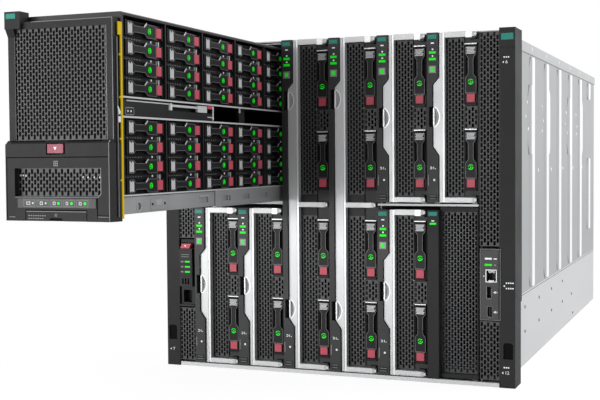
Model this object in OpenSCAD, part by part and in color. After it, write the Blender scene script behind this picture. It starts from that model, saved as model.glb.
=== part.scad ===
// Blade server chassis, 10 rack units high, with one storage drawer pulled open.
// +X to the right, -Y towards the front, +Z up. Origin: centre of the case's underside.

/* [Chassis] */
// Width of the case between its side walls
case_w = 445; // [440:0.5:448]
// Height of the case
case_h = 440; // [438:0.5:444]
// Depth from the ears' front face to the rear
case_d = 909; // [860:1:960]
// Width over the rack ears
rack_w = 482.6; // [482:0.1:483]
// Thickness of the sheet metal
sheet = 1.5; // [1:0.1:2]
// Depth of the plastic ear covers
ear_depth = 36.5; // [30:0.5:42]
// Height of the seam between the base tray and the side panels
seam_z = 97; // [80:1:110]

/* [Side ribs] */
// Distance from one pressed rib to the next
rib_pitch = 121; // [110:1:125]
// Width of a rib
rib_w = 30; // [20:1:36]
// How far a rib stands out
rib_t = 4; // [2:0.5:6]

/* [Bays] */
// Width of one bay
bay_w = 65.5; // [65:0.1:66]
// Height of a half-height blade's front
half_h = 211.6; // [208:0.1:213]
// Bottom of the lower row of blades
row_1_z = 7; // [6:0.5:8]
// Bottom of the upper row of blades
row_2_z = 228; // [226:0.5:229]
// Depth of a blade behind the ears' front face
blade_d = 582; // [540:1:584]

/* [Perforation] */
// Distance between columns of slots
slot_px = 5; // [4.5:0.1:6]
// Distance between slots in a column
slot_pz = 9; // [8:0.1:11]
// Width of a slot
slot_w = 3.1; // [2.4:0.1:3.5]
// Height of a slot
slot_h = 6.9; // [5:0.1:7.5]
// Distance between columns of the fine slots between a blade's drives
fine_px = 3.7; // [3.5:0.1:5]
// Distance between fine slots in a column
fine_pz = 6.6; // [6:0.1:8]
// Width of a fine slot
fine_w = 2.2; // [1.8:0.1:2.6]
// Height of a fine slot
fine_h = 4.8; // [4:0.1:5.2]

/* [Blade handle] */
// Width of the handle's upright bar
bar_w = 6.6; // [6:0.1:7]
// Thickness of the handle from front to back
bar_t = 8.3; // [7:0.1:8.4]
// Height of the handle's arms
arm_h = 6.2; // [5:0.1:6.5]
// Radius of the hinge pins
pin_r = 1.5; // [1.2:0.1:2]

/* [Drive carriers] */
// Length of a carrier's face
carrier_l = 76.8; // [75:0.1:78]
// Width of a carrier's face
carrier_w = 16; // [15:0.1:16.5]
// Depth of a carrier
carrier_d = 100; // [80:1:105]

/* [Storage drawer] */
// How far the drawer is pulled out
drawer_out = 415; // [300:1:430]
// Distance between columns of drives along the drawer
drive_pitch = 86.2; // [85:0.1:87]
// Distance between rows of drives
row_pitch = 19.8; // [19:0.1:20.5]

/* [Hidden] */
w2 = case_w / 2;
front = -case_d / 2;
rear = case_d / 2;
top_z = case_h;
cover_z = top_z - 1.2;                // underside of the top cover
ear_x = rack_w / 2;
ear_in = w2 - 0.8;
flange_y = front + ear_depth;
screw_x = 232.55;                     // half of the standard 465.1 mm
screw_low_z = 50.8;
screw_high_z = 422.3;
cols_x = 3 * bay_w;                   // outer limit of the six bays
bays_back = front + blade_d;
mid_y = bays_back + 12.5;             // front face of the midplane
mid_t = 4;
full_h = row_2_z + half_h - row_1_z;
row_step = row_2_z - row_1_z;
face_y = front + 9;                   // front of the blades' face plates
face_t = 3;
strip_y = front - 4;                  // front of the indicator strips
bar_y = front - 1;
strip_r = 15.2;                       // right edge of a strip
neck_r = 7.6;                         // right edge of its narrow stretch
bar_r = strip_r + 0.7 + bar_w;        // right edge of a handle's bar
pivot_x = 57.5;
pivot_y = bar_y + bar_t / 2;
drawer_y = front - drawer_out;        // front of the drawer's bezel
rail_z = 228.4;
rail_h = 20;
shelf_z = 223.5;
shelf_t = 2.6;
black = "#2b2b2c";
charcoal = "#3b3b3c";
silver = "#cfd0d1";
steel = "#b9babb";
red = "#c9485a";

// Column (0 to 5), bottom and height of each bladed bay, by its bay number
function bay_col(n) = (n - 1) % 6;
function bay_x(n) = -cols_x + bay_col(n) * bay_w;
function is_full(n) = n == 3 || n == 4;
function bay_z(n) = is_full(n) || n > 6 ? row_1_z : row_2_z;
function bay_h(n) = is_full(n) ? full_h : half_h;

// ---- shared shapes ----

module block(lo, hi) { translate(lo) cube(hi - lo); }

// A plate facing the front: the drawing's x and y become x and z, from y = from to y = to
module upright(from, to) { translate([0, to, 0]) rotate([90, 0, 0]) linear_extrude(to - from) children(); }

module mirrored() { children(); mirror([1, 0, 0]) children(); }

module rect(x0, z0, x1, z1) { translate([x0, z0]) square([x1 - x0, z1 - z0]); }

// Staggered columns of slots that fill the rectangle from (x0, z0) to (x1, z1)
module slots(x0, z0, x1, z1, px = slot_px, pz = slot_pz, sw = slot_w, sh = slot_h, tip = 0) {
  cols = floor((x1 - x0 - sw) / px + 0.001);
  rows = floor((z1 - z0 - sh) / pz + 0.001);
  ox = (x1 - x0 - cols * px) / 2;
  oz = (z1 - z0 - rows * pz) / 2;
  for (i = [0 : cols]) for (j = [0 : rows - (i % 2)])
    translate([x0 + ox + i * px, z0 + oz + (j + (i % 2) / 2) * pz])
      if (tip > 0) polygon([[-sw / 2, tip - sh / 2], [0, -sh / 2], [sw / 2, tip - sh / 2],
                            [sw / 2, sh / 2 - tip], [0, sh / 2], [-sw / 2, sh / 2 - tip]]);
      else square([sw, sh], center = true);
}

// ---- case ----

module base_tray() {
  color(steel) {
    block([-ear_in, front + 3, 0], [ear_in, rear, sheet]);
    mirrored() block([w2 - sheet, flange_y + 2, 0], [w2, rear, seam_z]);
  }
  color(silver) block([-w2 + 3, front - 2, 0.8], [ear_in, front + 3, 5.8]);
}

// A pressed rib of the right-hand panel: a long slope that faces the front, a steep one behind it
// and chamfered ends
module rib(y, z0, z1, wide = rib_w) {
  half = wide / 2;
  intersection() {
    translate([0, y, z0]) linear_extrude(z1 - z0)
      polygon([[w2 - 0.5, -half], [w2, -half], [w2 + rib_t, half - 8], [w2 + rib_t, half - 5],
               [w2, half], [w2 - 0.5, half]]);
    translate([w2 - 1, y, 0]) rotate([90, 0, 90]) linear_extrude(rib_t + 2)
      polygon([[-half, z0 + half], [-half / 2, z0], [half / 2, z0], [half, z0 + half],
               [half, z1 - half], [half / 2, z1], [-half / 2, z1], [-half, z1 - half]]);
  }
}

module side_panel() {
  difference() {
    union() {
      block([w2 - sheet, flange_y, seam_z], [w2, rear, cover_z]);
      block([w2 - sheet, flange_y, 2], [ear_x - 2.4, flange_y + 2, cover_z]);
    }
    block([w2 - 0.5, flange_y + 2, seam_z - 1], [w2 + 1, rear + 1, seam_z + 0.7]);
    for (z = [screw_low_z, screw_high_z])
      translate([screw_x, flange_y - 1, z]) rotate([-90, 0, 0]) cylinder(h = 4, r = 3.4, $fn = 32);
  }
  rib_1 = front + 90;
  for (i = [0 : 5]) rib(rib_1 + i * rib_pitch, seam_z + 6, top_z - 17);
  // beside the rivets two ribs widen to the front and two to the rear
  for (i = [1, 4]) rib(rib_1 + i * rib_pitch - 6, 288, 384, rib_w + 12);
  for (i = [2, 5]) rib(rib_1 + i * rib_pitch + 5, 288, 384, rib_w + 12);
  rib(rib_1 + 6 * rib_pitch, 147, 281);
  rib(rib_1 + 6 * rib_pitch, 393, top_z - 17);
}

module side_panels() { color(steel) mirrored() side_panel(); }

module top_cover() {
  color(steel) {
    difference() {
      block([-w2 - sheet, front + 45, cover_z], [w2 + sheet, rear, top_z + 0.3]);
      // seams between the cover plates and a finger recess in the rear one
      for (y = [front + 120, front + 470])
        block([-w2 - 3, y, top_z - 0.4], [w2 + 3, y + 1, top_z + 1]);
      block([-32, front + 490, top_z - 0.5], [32, front + 506, top_z + 1]);
    }
    block([-w2 + 1, front + 9.4, cover_z], [w2 - 1, front + 45, top_z + 0.3]);
    mirrored() difference() {
      block([w2, front + 45, top_z - 13.5], [w2 + sheet, rear, cover_z]);
      for (i = [0 : 6]) block([w2 + 0.7, front + 91 + i * rib_pitch, top_z - 8],
                              [w2 + 3, front + 95 + i * rib_pitch, top_z - 3]);
    }
  }
}

module bay_frame() {
  color(steel) {
    for (x = [-cols_x, -bay_w, bay_w, cols_x])
      block([x - 0.8, front + 14, sheet], [x + 0.8, mid_y - 0.5, cover_z]);
    // guide rails that the blades slide on
    for (n = [5, 6, 7, 8, 9, 10, 11, 12]) for (dx = [6, bay_w - 12]) {
      low = n > 6 ? sheet : shelf_z + shelf_t;
      block([bay_x(n) + dx, front + 16, low], [bay_x(n) + dx + 6, mid_y - 1, bay_z(n) + 1.1]);
    }
    block([-w2 + sheet, flange_y + 4, 80.4], [-cols_x - 0.8, mid_y - 1, 82]);
    block([-cols_x + 0.9, front + 14, shelf_z], [-bay_w - 0.9, mid_y - 0.5, shelf_z + shelf_t]);
    block([bay_w + 0.9, front + 13, shelf_z], [cols_x - 0.9, mid_y - 0.5, shelf_z + shelf_t]);
  }
  color(silver) block([bay_w + 0.4, front - 1, shelf_z], [cols_x - 0.4, front + 13, shelf_z + shelf_t]);
}

module midplane() {
  color("#1f4d33") {
    block([-w2 + 3, mid_y, sheet], [w2 - 3, mid_y + mid_t, top_z - 3]);
    for (n = [1 : 12]) for (dz = [60, 130])
      block([bay_x(n) + 24, mid_y - 8, (n > 6 ? row_1_z : row_2_z) + dz],
            [bay_x(n) + 44, mid_y, (n > 6 ? row_1_z : row_2_z) + dz + 28]);
  }
}

// ---- rack ears ----

module ear_cover() {
  skin = 2.2;
  difference() {
    union() {
      block([ear_in, front, 0], [ear_x, front + ear_depth, top_z + 2]);
      block([ear_x - skin, front + ear_depth, 103], [ear_x, front + 43, top_z + 2]);
      block([ear_in, front - 0.8, 418.4], [ear_x, front, top_z + 2]);
    }
    block([ear_in + skin, front + skin, skin], [ear_x - skin, front + ear_depth + 1, top_z + 2 - skin]);
    upright(front - 2, front + skin + 1)
      polygon([[226.6, 35.6], [238.6, 35.6], [238.6, 53.6], [236.6, 55.6], [228.6, 55.6], [226.6, 53.6]]);
    block([ear_in - 1, front - 0.1, 417.6], [ear_x + 1, front + 0.6, 418.4]);
  }
}

module ear_covers() { color(charcoal) mirrored() ear_cover(); }

// ---- narrow columns beside the bays ----

// A perforated blank with folded edges, from (x0, z0) to (x1, z1)
module blank(x0, z0, x1, z1) {
  upright(front + 1.4, front + 2.6) difference() {
    rect(x0, z0, x1, z1);
    slots(x0 + 1.6, z0 + 2.5, x1 - 1.6, z1 - 2.5);
  }
  for (x = [x0, x1 - 1.2]) block([x, front + 2.6, z0], [x + 1.2, front + 26, z1]);
}

module column_grilles() {
  color(black) {
    blank(cols_x + 0.8, 174.6, ear_in, top_z - 1.8);
    blank(cols_x + 0.8, 8.6, ear_in, 81.4);
    blank(-ear_in, 176.6, -cols_x - 0.8, top_z - 1.8);
    blank(-ear_in, 8.2, -cols_x - 0.8, 80.2);
  }
}

module console_panel() {
  x0 = cols_x + 0.8;
  color(charcoal) difference() {
    union() {
      block([x0, front + 0.4, 82.6], [ear_in, front + 36, 171.6]);
      block([x0 + 1.4, front - 0.4, 85], [ear_in - 1.4, front + 0.4, 169.4]);
    }
    block([206, front - 1, 131.5], [218, front + 16, 145]);
    block([206.3, front - 1, 110.5], [211.5, front + 12, 124.5]);
    block([207.3, front - 1, 87.5], [212.6, front + 12, 99.8]);
  }
}

// ---- rear ----

fan_n = 5;
fan_p = (case_w - 6) / fan_n;
fan_h = 80;
fan_low_z = 51;
fan_high_z = 355;
psu_n = 6;
psu_p = (case_w - 6) / psu_n;
link_z = 135;
link_p = 35.6;

module rear_frame() {
  color(steel) {
    for (z = [fan_low_z, fan_high_z, for (k = [0 : 5]) link_z + k * link_p])
      block([-w2 + sheet, mid_y + mid_t + 1, z - 1.2], [w2 - sheet, rear - 1, z]);
  }
}

module fan_module(x, z) {
  r = 34;
  translate([x, 0, z]) {
    difference() {
      block([-fan_p / 2 + 1.5, rear - 96, 0], [fan_p / 2 - 1.5, rear - 4, fan_h]);
      translate([0, rear - 95, fan_h / 2]) rotate([-90, 0, 0]) cylinder(h = 100, r = r, $fn = 48);
    }
    translate([0, rear - 4, fan_h / 2]) rotate([90, 0, 0]) {
      for (k = [1 : 3]) difference() {
        cylinder(h = 2, r = 9.5 * k + 1, $fn = 48);
        translate([0, 0, -1]) cylinder(h = 4, r = 9.5 * k - 1, $fn = 48);
      }
      for (a = [45, 135]) rotate([0, 0, a]) translate([-r - 1, -1.5, 0]) cube([2 * r + 2, 3, 2]);
      translate([0, 0, 6]) cylinder(h = 86, r = 13, $fn = 32);
      for (a = [0 : 60 : 359]) rotate([0, 0, a]) translate([12, 0, 14]) rotate([35, 0, 0])
        translate([0, -1, -2]) cube([16, 2, 18]);
    }
    block([-fan_p / 2 + 6, rear - 4, 2], [-fan_p / 2 + 12, rear + 6, fan_h - 2]);
  }
}

module fan_modules() {
  color(charcoal) for (i = [0 : fan_n - 1]) for (z = [fan_low_z, fan_high_z])
    fan_module((i - (fan_n - 1) / 2) * fan_p, z);
}

module interconnect_modules() {
  color(charcoal) for (k = [0 : 5]) translate([0, 0, link_z + k * link_p]) difference() {
    union() {
      block([-w2 + 4, mid_y + 12, 0], [w2 - 4, rear - 3, link_p - 1.8]);
      for (x = [-w2 + 8, w2 - 22]) block([x, rear - 3, 4], [x + 14, rear + 3, link_p - 5]);
    }
    block([-w2 + 6, mid_y + 11, 2], [w2 - 6, rear - 10, link_p - 3.8]);
    for (i = [0 : 9]) block([-150 + i * 24, rear - 6, 7], [-132 + i * 24, rear, 17]);
    for (i = [0 : 34]) block([-172 + i * 10, rear - 5, 23], [-166 + i * 10, rear, 29]);
  }
}

module power_supply() {
  difference() {
    union() {
      block([-psu_p / 2 + 1, mid_y + 60, 0], [psu_p / 2 - 1, rear - 3, 45]);
      block([8, rear - 3, 31], [psu_p / 2 - 8, rear + 10, 33.5]);
    }
    block([-30, rear - 21, 12], [-6, rear, 30]);
    for (i = [0 : 4]) for (j = [0 : 1])
      block([4 + i * 5.6, rear - 6, 6 + j * 11], [8 + i * 5.6, rear, 15 + j * 11]);
  }
  for (x = [-25, -18, -11]) block([x - 1, rear - 22, 18], [x + 1, rear - 10, 24]);
}

module power_supplies() {
  color(charcoal) for (i = [0 : psu_n - 1])
    translate([(i - (psu_n - 1) / 2) * psu_p, 0, sheet]) power_supply();
}

// ---- blades ----

// Scoops in the handle of a blade of height h: heights of their centres
function scoops(h) = h > half_h + 1 ? [353.3, 79] : [107];
// Narrow stretch of the strip: lower and upper end
function neck(h) = h > half_h + 1 ? [66, 368] : [70, 147];
// Bottoms of the drive carriers
function carriers(h) = h > half_h + 1 ? [14.8, 120.5, row_step + 14.8, row_step + 120.5] : [14.8, 120.5];

// The strip's right edge, from the top down, moved right by d
function strip_edge(h, d) = [[strip_r + d, h], [strip_r + d, neck(h)[1] + 9], [neck_r + d, neck(h)[1]],
                             [neck_r + d, neck(h)[0]], [strip_r + d, neck(h)[0] - 11], [strip_r + d, 0]];

module blade_sled(n) {
  h = bay_h(n);
  color(charcoal) translate([bay_x(n), 0, bay_z(n)]) {
    difference() {
      block([1.2, face_y + face_t, 1.5], [64.3, bays_back, h - 1.6]);
      block([2.7, face_y, 3], [62.8, bays_back - 1.5, h - 3.1]);
    }
    upright(face_y, face_y + face_t) difference() {
      rect(0.6, 0, 64.3, h - 1.4);
      rect(24, 13, 44.2, h - 13);
      for (z = carriers(h)) rect(45.9, z, 62.5, z + carrier_l);
      for (k = [0 : h > half_h + 1 ? 1 : 0])
        slots(46.2, k * row_step + 93.2, 62.2, k * row_step + 118.6, fine_px, fine_pz, fine_w, fine_h);
    }
    difference() {
      upright(strip_y, face_y) polygon(concat([[0.6, 0], [0.6, h]], strip_edge(h, 0)));
      for (z = scoops(h)) block([3.2, strip_y - 1, z - 12.5], [neck_r + 1, face_y - 1, z + 12.5]);
      block([4, strip_y - 1, h - 49.7], [12, front + 4, h - 41.7]);
    }
    for (s = [0, 1]) translate([pivot_x, pivot_y, s * h]) mirror([0, 0, s]) {
      block([-4, -4, arm_h + 1], [4, face_y - pivot_y, arm_h + 3]);
      translate([0, 0, 1]) cylinder(h = arm_h + 1, r = pin_r, $fn = 32);
    }
  }
}

module blade_grille(n) {
  h = bay_h(n);
  color(black) translate([bay_x(n), 0, bay_z(n)]) upright(face_y - 1.2, face_y) difference() {
    rect(23.2, 11.8, 44.8, h - 11.8);
    if (h < half_h + 1) slots(24.2, 14, 43.8, h - 14);
    else {
      slots(24.2, 14, 43.8, half_h - 14);
      slots(24.2, row_step + 14, 43.8, h - 14);
    }
  }
}

// One arm of a handle, ending in a round eye about the hinge axis and a cam nose
module arm(drilled) {
  difference() {
    union() {
      block([bar_r - 1, bar_y, 0], [pivot_x, bar_y + bar_t, arm_h]);
      translate([pivot_x, pivot_y, 0]) cylinder(h = arm_h, r = bar_t / 2, $fn = 48);
      block([pivot_x, bar_y + 0.6, 1.4], [pivot_x + 4.8, bar_y + 3.2, arm_h - 1.4]);
    }
    if (drilled) translate([pivot_x, pivot_y, -1]) cylinder(h = arm_h + 2, r = pin_r + 0.1, $fn = 32);
  }
}

module blade_handle(n) {
  h = bay_h(n);
  color(silver) translate([bay_x(n), 0, bay_z(n)]) {
    difference() {
      upright(bar_y, bar_y + bar_t)
        polygon(concat([[bar_r, 0.2], [bar_r, h - 0.2]],
                       [for (p = strip_edge(h, 0.7)) [p[0], min(max(p[1], 0.2), h - 0.2)]]));
      for (z = scoops(h)) intersection() {
        translate([0.4, bar_y - 13, z]) sphere(r = 20, $fn = 96);
        block([9.8, bar_y - 1, z - 12], [20, bar_y + 5, z + 12]);
      }
      block([19.4, bar_y - 1, -1], [20, bar_y + 0.6, h + 1]);
    }
    translate([0, 0, 0.2]) arm(true);
    translate([0, 0, h - 0.2 - arm_h]) arm(true);
    if (h > half_h + 1) translate([0, 0, row_step - 7.2]) arm(false);
  }
}

// A 2.5-inch drive carrier: u runs along its face, v across, w outwards from the face
module carrier(depth) {
  mid = carrier_w / 2;
  color(black) {
    translate([0, 0, -2.5]) cube([carrier_l, carrier_w, 2.5]);
    translate([1.5, 0.7, -depth]) cube([carrier_l - 3, carrier_w - 1.4, depth - 2.5]);
    cube([3.2, carrier_w, 3.2]);
    translate([0, 0, 0]) linear_extrude(3.2)
      polygon([[4.4, 1.2], [13, 1.2], [18, mid - 3.4], [38, mid - 3.4], [42.5, 1], [61, 1],
               [61, carrier_w - 1], [42.5, carrier_w - 1], [38, mid + 3.4], [18, mid + 3.4],
               [13, carrier_w - 1.2], [4.4, carrier_w - 1.2]]);
  }
  color(red) translate([62.2, 2.8, 0]) cube([10.6, 10.4, 3.2]);
  color(black) translate([74, 1, 0]) cube([2.8, carrier_w - 2, 2.4]);
}

module blade_drives(n) {
  for (z = carriers(bay_h(n)))
    translate([bay_x(n) + 46.2, face_y - 0.8, bay_z(n) + z + carrier_l])
      rotate([0, 90, 0]) rotate([90, 0, 0]) carrier(carrier_d);
}

module blade_button(n) {
  color("#6c6d6c") translate([bay_x(n), 0, bay_z(n) + bay_h(n)])
    block([4.3, strip_y - 0.8, -49.4], [11.7, front + 2.4, -42]);
}

// Lower right-hand bay: a perforated module with a plain strip
module bay_12_module() {
  x = bay_x(12);
  z = row_1_z;
  color(charcoal) translate([x, 0, z]) {
    difference() {
      block([1.2, face_y + face_t, 1.5], [64.3, bays_back, half_h - 1.6]);
      block([2.7, face_y, 3], [62.8, bays_back - 1.5, half_h - 3.1]);
    }
    block([0.4, strip_y, -0.3], [15.6, face_y + face_t, half_h]);
    upright(face_y - 6, face_y + face_t) difference() {
      rect(15.6, 0, 64.3, half_h + 4);
      rect(20.5, 6, 61.5, half_h - 2);
    }
    upright(face_y, face_y + 1.2) difference() {
      rect(20, 5, 62, half_h - 1);
      slots(21.5, 8, 60.5, half_h - 4);
    }
  }
}

// ---- appliance module in the left-hand column ----

module appliance_module() {
  x0 = -ear_in + 0.6;
  x1 = -cols_x - 1.8;
  color(charcoal) difference() {
    union() {
      block([x0 + 0.8, front + 3, 82.4], [x1, bays_back, 174.4]);
      block([x0 + 1, front - 3, 110], [x1 - 2.4, front + 3, 161.6]);
      block([x0, front - 1, 82.4], [x1, front + 3, 85]);
    }
    block([x0 + 2, front + 1, 162], [x1 - 1, front + 12, 170]);
    block([x0 + 4, front, 87.5], [x1 - 6, front + 16, 104.5]);
    for (i = [0 : 2]) block([x0 + 5 + i * 4.2, front - 4, 113], [x0 + 7.2 + i * 4.2, front + 0.5, 121]);
  }
}

module appliance_latch() {
  x0 = -ear_in + 3;
  color(red) upright(front - 3.5, front + 6)
    polygon([[x0, 162.4], [x0 + 14, 162.4], [x0 + 17, 168.8], [x0 + 3, 168.8]]);
}

// ---- storage drawer ----

bezel_l = -cols_x;
bezel_r = -71;
bezel_back = drawer_y + 18;
frame_l = -cols_x + 1.3;
frame_r = -bay_w - 1.3;
body_l = frame_l + 3.2;
body_r = -70.3;
low_r = -75;
low_l = frame_l + frame_r - low_r;
body_back = bezel_back + 447;
body_top = 430.5;
low_top = 248.8;
bay_back_x = body_r - 3.6 - carrier_d; // where the drives' connectors meet the backplane

module storage_frame() {
  z0 = shelf_z + shelf_t;
  y1 = bays_back;
  color(steel) {
    difference() {
      block([frame_l, front + 14, z0], [frame_r, y1, top_z - 2]);
      block([frame_l + sheet, front + 13, z0 + sheet], [frame_r - sheet, y1 - sheet, top_z - 2 - sheet]);
    }
    for (s = [0, 1]) translate([s * (frame_l + frame_r), 0, 0]) mirror([s, 0, 0])
      block([frame_r - sheet - 1.7, front + 16, z0 + sheet],
            [frame_r - sheet, front + 470, rail_z + rail_h + 0.2]);
  }
}

// A rail on the right-hand side of the drawer and its mirror image on the left
module both_rails() {
  color("#9d9ea0") for (s = [0, 1]) translate([s * (frame_l + frame_r), 0, 0]) mirror([s, 0, 0]) children();
}

// Both middle members of the telescopic slides
module slide_rails() {
  y0 = front + 17 - drawer_out / 2;
  y1 = y0 + 440;
  both_rails() difference() {
    block([low_r + 0.3, y0, rail_z], [low_r + 4.4, y1, rail_z + rail_h]);
    block([low_r - 1, y0 - 1, rail_z + 1.3], [low_r + 3.2, y1 + 1, rail_z + rail_h - 1.3]);
    for (i = [0 : 2])
      block([low_r, y0 + 20 + i * 55, rail_z + 7], [low_r + 6, y0 + 40 + i * 55, rail_z + 13]);
  }
}

module drawer_body() {
  y0 = bezel_back;
  y1 = body_back;
  color(black) difference() {
    union() {
      block([body_l, y0, low_top], [body_r, y1, body_top]);
      block([low_l, y0, 229.6], [low_r, y1, low_top]);
    }
    block([bay_back_x, y0 + 5, 347.4], [body_r + 1, y1 - 5, body_top - 3]);
    block([bay_back_x, y0 + 5, 328], [body_r + 1, y1 - 5, 346]);
    block([bay_back_x, y0 + 5, low_top], [body_r + 1, y1 - 5, 326]);
  }
  color(black) for (i = [1 : 4]) {
    y = y0 + 5 + i * drive_pitch;
    block([bay_back_x - 1, y - 1, 347], [body_r - 0.4, y + 1, body_top - 2.9]);
    block([bay_back_x - 1, y - 1, low_top - 0.1], [body_r - 0.4, y + 1, 326.1]);
  }
  // post in the mouth of the empty adapter bay
  color(black) block([body_r - 13, front - 106, 327.9], [body_r - 9, front - 90, 346.1]);
  both_rails() difference() {
    block([low_r - 0.05, y0, rail_z + 1.7], [low_r + 2.8, y1, rail_z + rail_h - 1.7]);
    translate([low_r + 1, y0 + 34, 237]) rotate([0, 90, 0]) cylinder(h = 4, r = 4, $fn = 32);
    for (y = [170, 223]) block([low_r + 1, y0 + y, 235], [low_r + 4, y0 + y + 20, 241]);
  }
}

module drawer_drives() {
  for (low = [249.4, 348.8]) for (r = [0 : 3]) for (c = [0 : 4])
    translate([body_r - 3.6, bezel_back + 9.6 + c * drive_pitch, low + r * row_pitch])
      rotate([90, 0, 90]) carrier(carrier_d);
}

module drawer_bezel() {
  y = drawer_y;
  low_z = 223.4;
  top = 424;
  upper_y = y + 6.5;
  color(charcoal) {
    // lower part with the window and the indicator bar
    difference() {
      block([bezel_l, y, low_z], [bezel_r, bezel_back, 301]);
      block([-185.5, y - 1, 248], [-84.5, y + 8, 276.6]);
      block([bezel_l - 1, y - 1, 286.9], [bezel_r - 3, y + 0.8, 287.7]);
      block([-147.4, y - 1, 290], [-124.9, y + 12, 301.1]);
      block([-172.6, y - 1, low_z - 1], [-100.4, y + 7, 234.9]);
      tab_pin(1, 2);
      block([-88.6, y - 1, 226], [-87.9, y + 0.8, 247]);
      translate([bezel_r, y + 10, 0]) rotate([0, 0, -17]) block([0, -14, low_z - 1], [10, 0, 302]);
    }
    block([-182, y - 0.8, 236.6], [-94.5, y + 0.1, 246.4]);
    // upper frame
    difference() {
      union() {
        block([bezel_l + 0.8, upper_y, 301], [bezel_r - 1.6, bezel_back, top]);
        block([bezel_l, y + 2, 417], [-178, bezel_back, 434.6]);
        block([-178.1, y + 5, 417], [-167.5, bezel_back, 434.6]);
      }
      block([-187, upper_y - 1, 304.4], [-80.5, bezel_back + 1, 416.4]);
      block([-189, y + 7.4, 302.8], [-78.5, bezel_back + 1, 418]);
    }
    // slope from the lower part back to the upper frame
    translate([bezel_l + 0.8, 0, 0]) rotate([90, 0, 90]) linear_extrude(bezel_r - bezel_l - 2.4)
      polygon([[y, 301], [bezel_back, 301], [bezel_back, 304], [upper_y, 304.4], [y + 4, 304.4]]);
    // slope under the corner block
    translate([bezel_l + 0.8, 0, 0]) rotate([90, 0, 90]) linear_extrude(9.5)
      polygon([[y + 2, 417], [upper_y + 0.6, 408], [upper_y + 0.6, 417.1]]);
  }
}

module drawer_grille() {
  y = drawer_y + 7.4;
  color(black) {
    upright(y, y + 1.4) difference() {
      rect(-189, 304.4, -78.5, 418);
      slots(-187.8, 305.6, -79.8, 416.4, slot_px, slot_pz, slot_w, slot_h, 1.4);
    }
    upright(drawer_y + 6.6, drawer_y + 8) difference() {
      rect(-185.5, 248, -84.5, 276.6);
      slots(-184, 249, -86, 275.6, slot_px, slot_pz, slot_w, slot_h, 1.4);
    }
  }
}

module drawer_button() { color(red) block([-145.4, drawer_y - 0.6, 291.4], [-126.9, drawer_y + 8, 300.4]); }

module tab_pin(r, over) {
  translate([-172.6 - over, drawer_y + 2.5, 225.4]) rotate([0, 90, 0])
    cylinder(h = 72.2 + 2 * over, r = r, $fn = 24);
}

module info_tab() {
  y = drawer_y;
  color(charcoal) {
    difference() {
      block([-172, y - 0.2, 223.5], [-101, y + 6.2, 233.4]);
      upright(y - 1, y + 8) polygon([[-146, 223], [-143, 226.6], [-130, 226.6], [-127, 223]]);
    }
    tab_pin(0.9, 1.5);
  }
}

// ---- adapter between the drawer's two drive bays ----

adapter_y0 = bezel_back + 8;
adapter_y1 = adapter_y0 + 197.5;
lever_y = adapter_y1 - 100;

module io_adapter() {
  color(black) {
    difference() {
      block([bay_back_x, adapter_y0, 328.6], [body_r - 2.6, adapter_y1, 345.4]);
      block([body_r - 8.6, lever_y - 8, 336.6], [body_r, adapter_y1 - 2, 346]);
    }
    translate([body_r - 4.4, lever_y, 336]) cylinder(h = 8.5, r = 1.3, $fn = 24);
  }
}

module io_lever() {
  color(silver) difference() {
    union() {
      block([body_r - 3.4, lever_y, 341], [body_r - 1.4, lever_y + 80, 343.4]);
      translate([body_r - 4.4, lever_y, 337.2]) cylinder(h = 7.4, r = 3, $fn = 32);
      block([body_r - 3.4, lever_y + 59, 337.2], [body_r - 0.8, lever_y + 82, 344.6]);
    }
    translate([body_r - 4.4, lever_y, 330]) cylinder(h = 20, r = 1.4, $fn = 24);
  }
}

base_tray();
side_panels();
top_cover();
bay_frame();
midplane();
ear_covers();
column_grilles();
console_panel();
rear_frame();
fan_modules();
interconnect_modules();
power_supplies();
storage_frame();
appliance_module();
appliance_latch();
drawer_body();
drawer_bezel();
drawer_grille();
drawer_button();
slide_rails();
drawer_drives();
io_adapter();
io_lever();
info_tab();
bay_12_module();
for (n = [3, 4, 5, 6, 7, 8, 11]) {
  blade_sled(n);
  blade_grille(n);
  blade_handle(n);
  blade_drives(n);
  blade_button(n);
}
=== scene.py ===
import math

import bmesh
import bpy
from mathutils import Matrix, Vector


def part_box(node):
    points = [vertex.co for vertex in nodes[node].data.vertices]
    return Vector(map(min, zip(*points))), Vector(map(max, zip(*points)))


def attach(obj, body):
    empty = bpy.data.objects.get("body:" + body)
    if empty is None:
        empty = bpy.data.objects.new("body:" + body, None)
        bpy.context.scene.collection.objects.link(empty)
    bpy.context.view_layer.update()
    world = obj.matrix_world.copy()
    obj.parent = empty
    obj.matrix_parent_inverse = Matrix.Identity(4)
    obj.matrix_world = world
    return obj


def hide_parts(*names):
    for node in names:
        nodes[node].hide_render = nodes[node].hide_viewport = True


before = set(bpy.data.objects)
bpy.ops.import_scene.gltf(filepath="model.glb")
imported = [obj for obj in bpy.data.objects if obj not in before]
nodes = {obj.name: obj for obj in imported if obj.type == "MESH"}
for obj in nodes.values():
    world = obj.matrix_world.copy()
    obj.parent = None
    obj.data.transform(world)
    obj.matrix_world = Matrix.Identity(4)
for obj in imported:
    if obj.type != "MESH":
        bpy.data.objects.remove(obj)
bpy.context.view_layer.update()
mm = 0.001
bladeNumbers = [3, 4, 5, 6, 7, 8, 11]
print("stage: frame loaded,", len(nodes), "nodes")


def addNode(tree, kind, inputs=None, **settings):
    node = tree.nodes.new(kind)
    for key, value in settings.items():
        setattr(node, key, value)
    for key, value in (inputs or {}).items():
        if isinstance(value, bpy.types.NodeSocket):
            tree.links.new(value, node.inputs[key])
        else:
            node.inputs[key].default_value = value
    return node


def mathNode(tree, operation, a, b=0.0):
    return addNode(tree, "ShaderNodeMath", {0: a, 1: b}, operation=operation).outputs[0]


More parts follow.
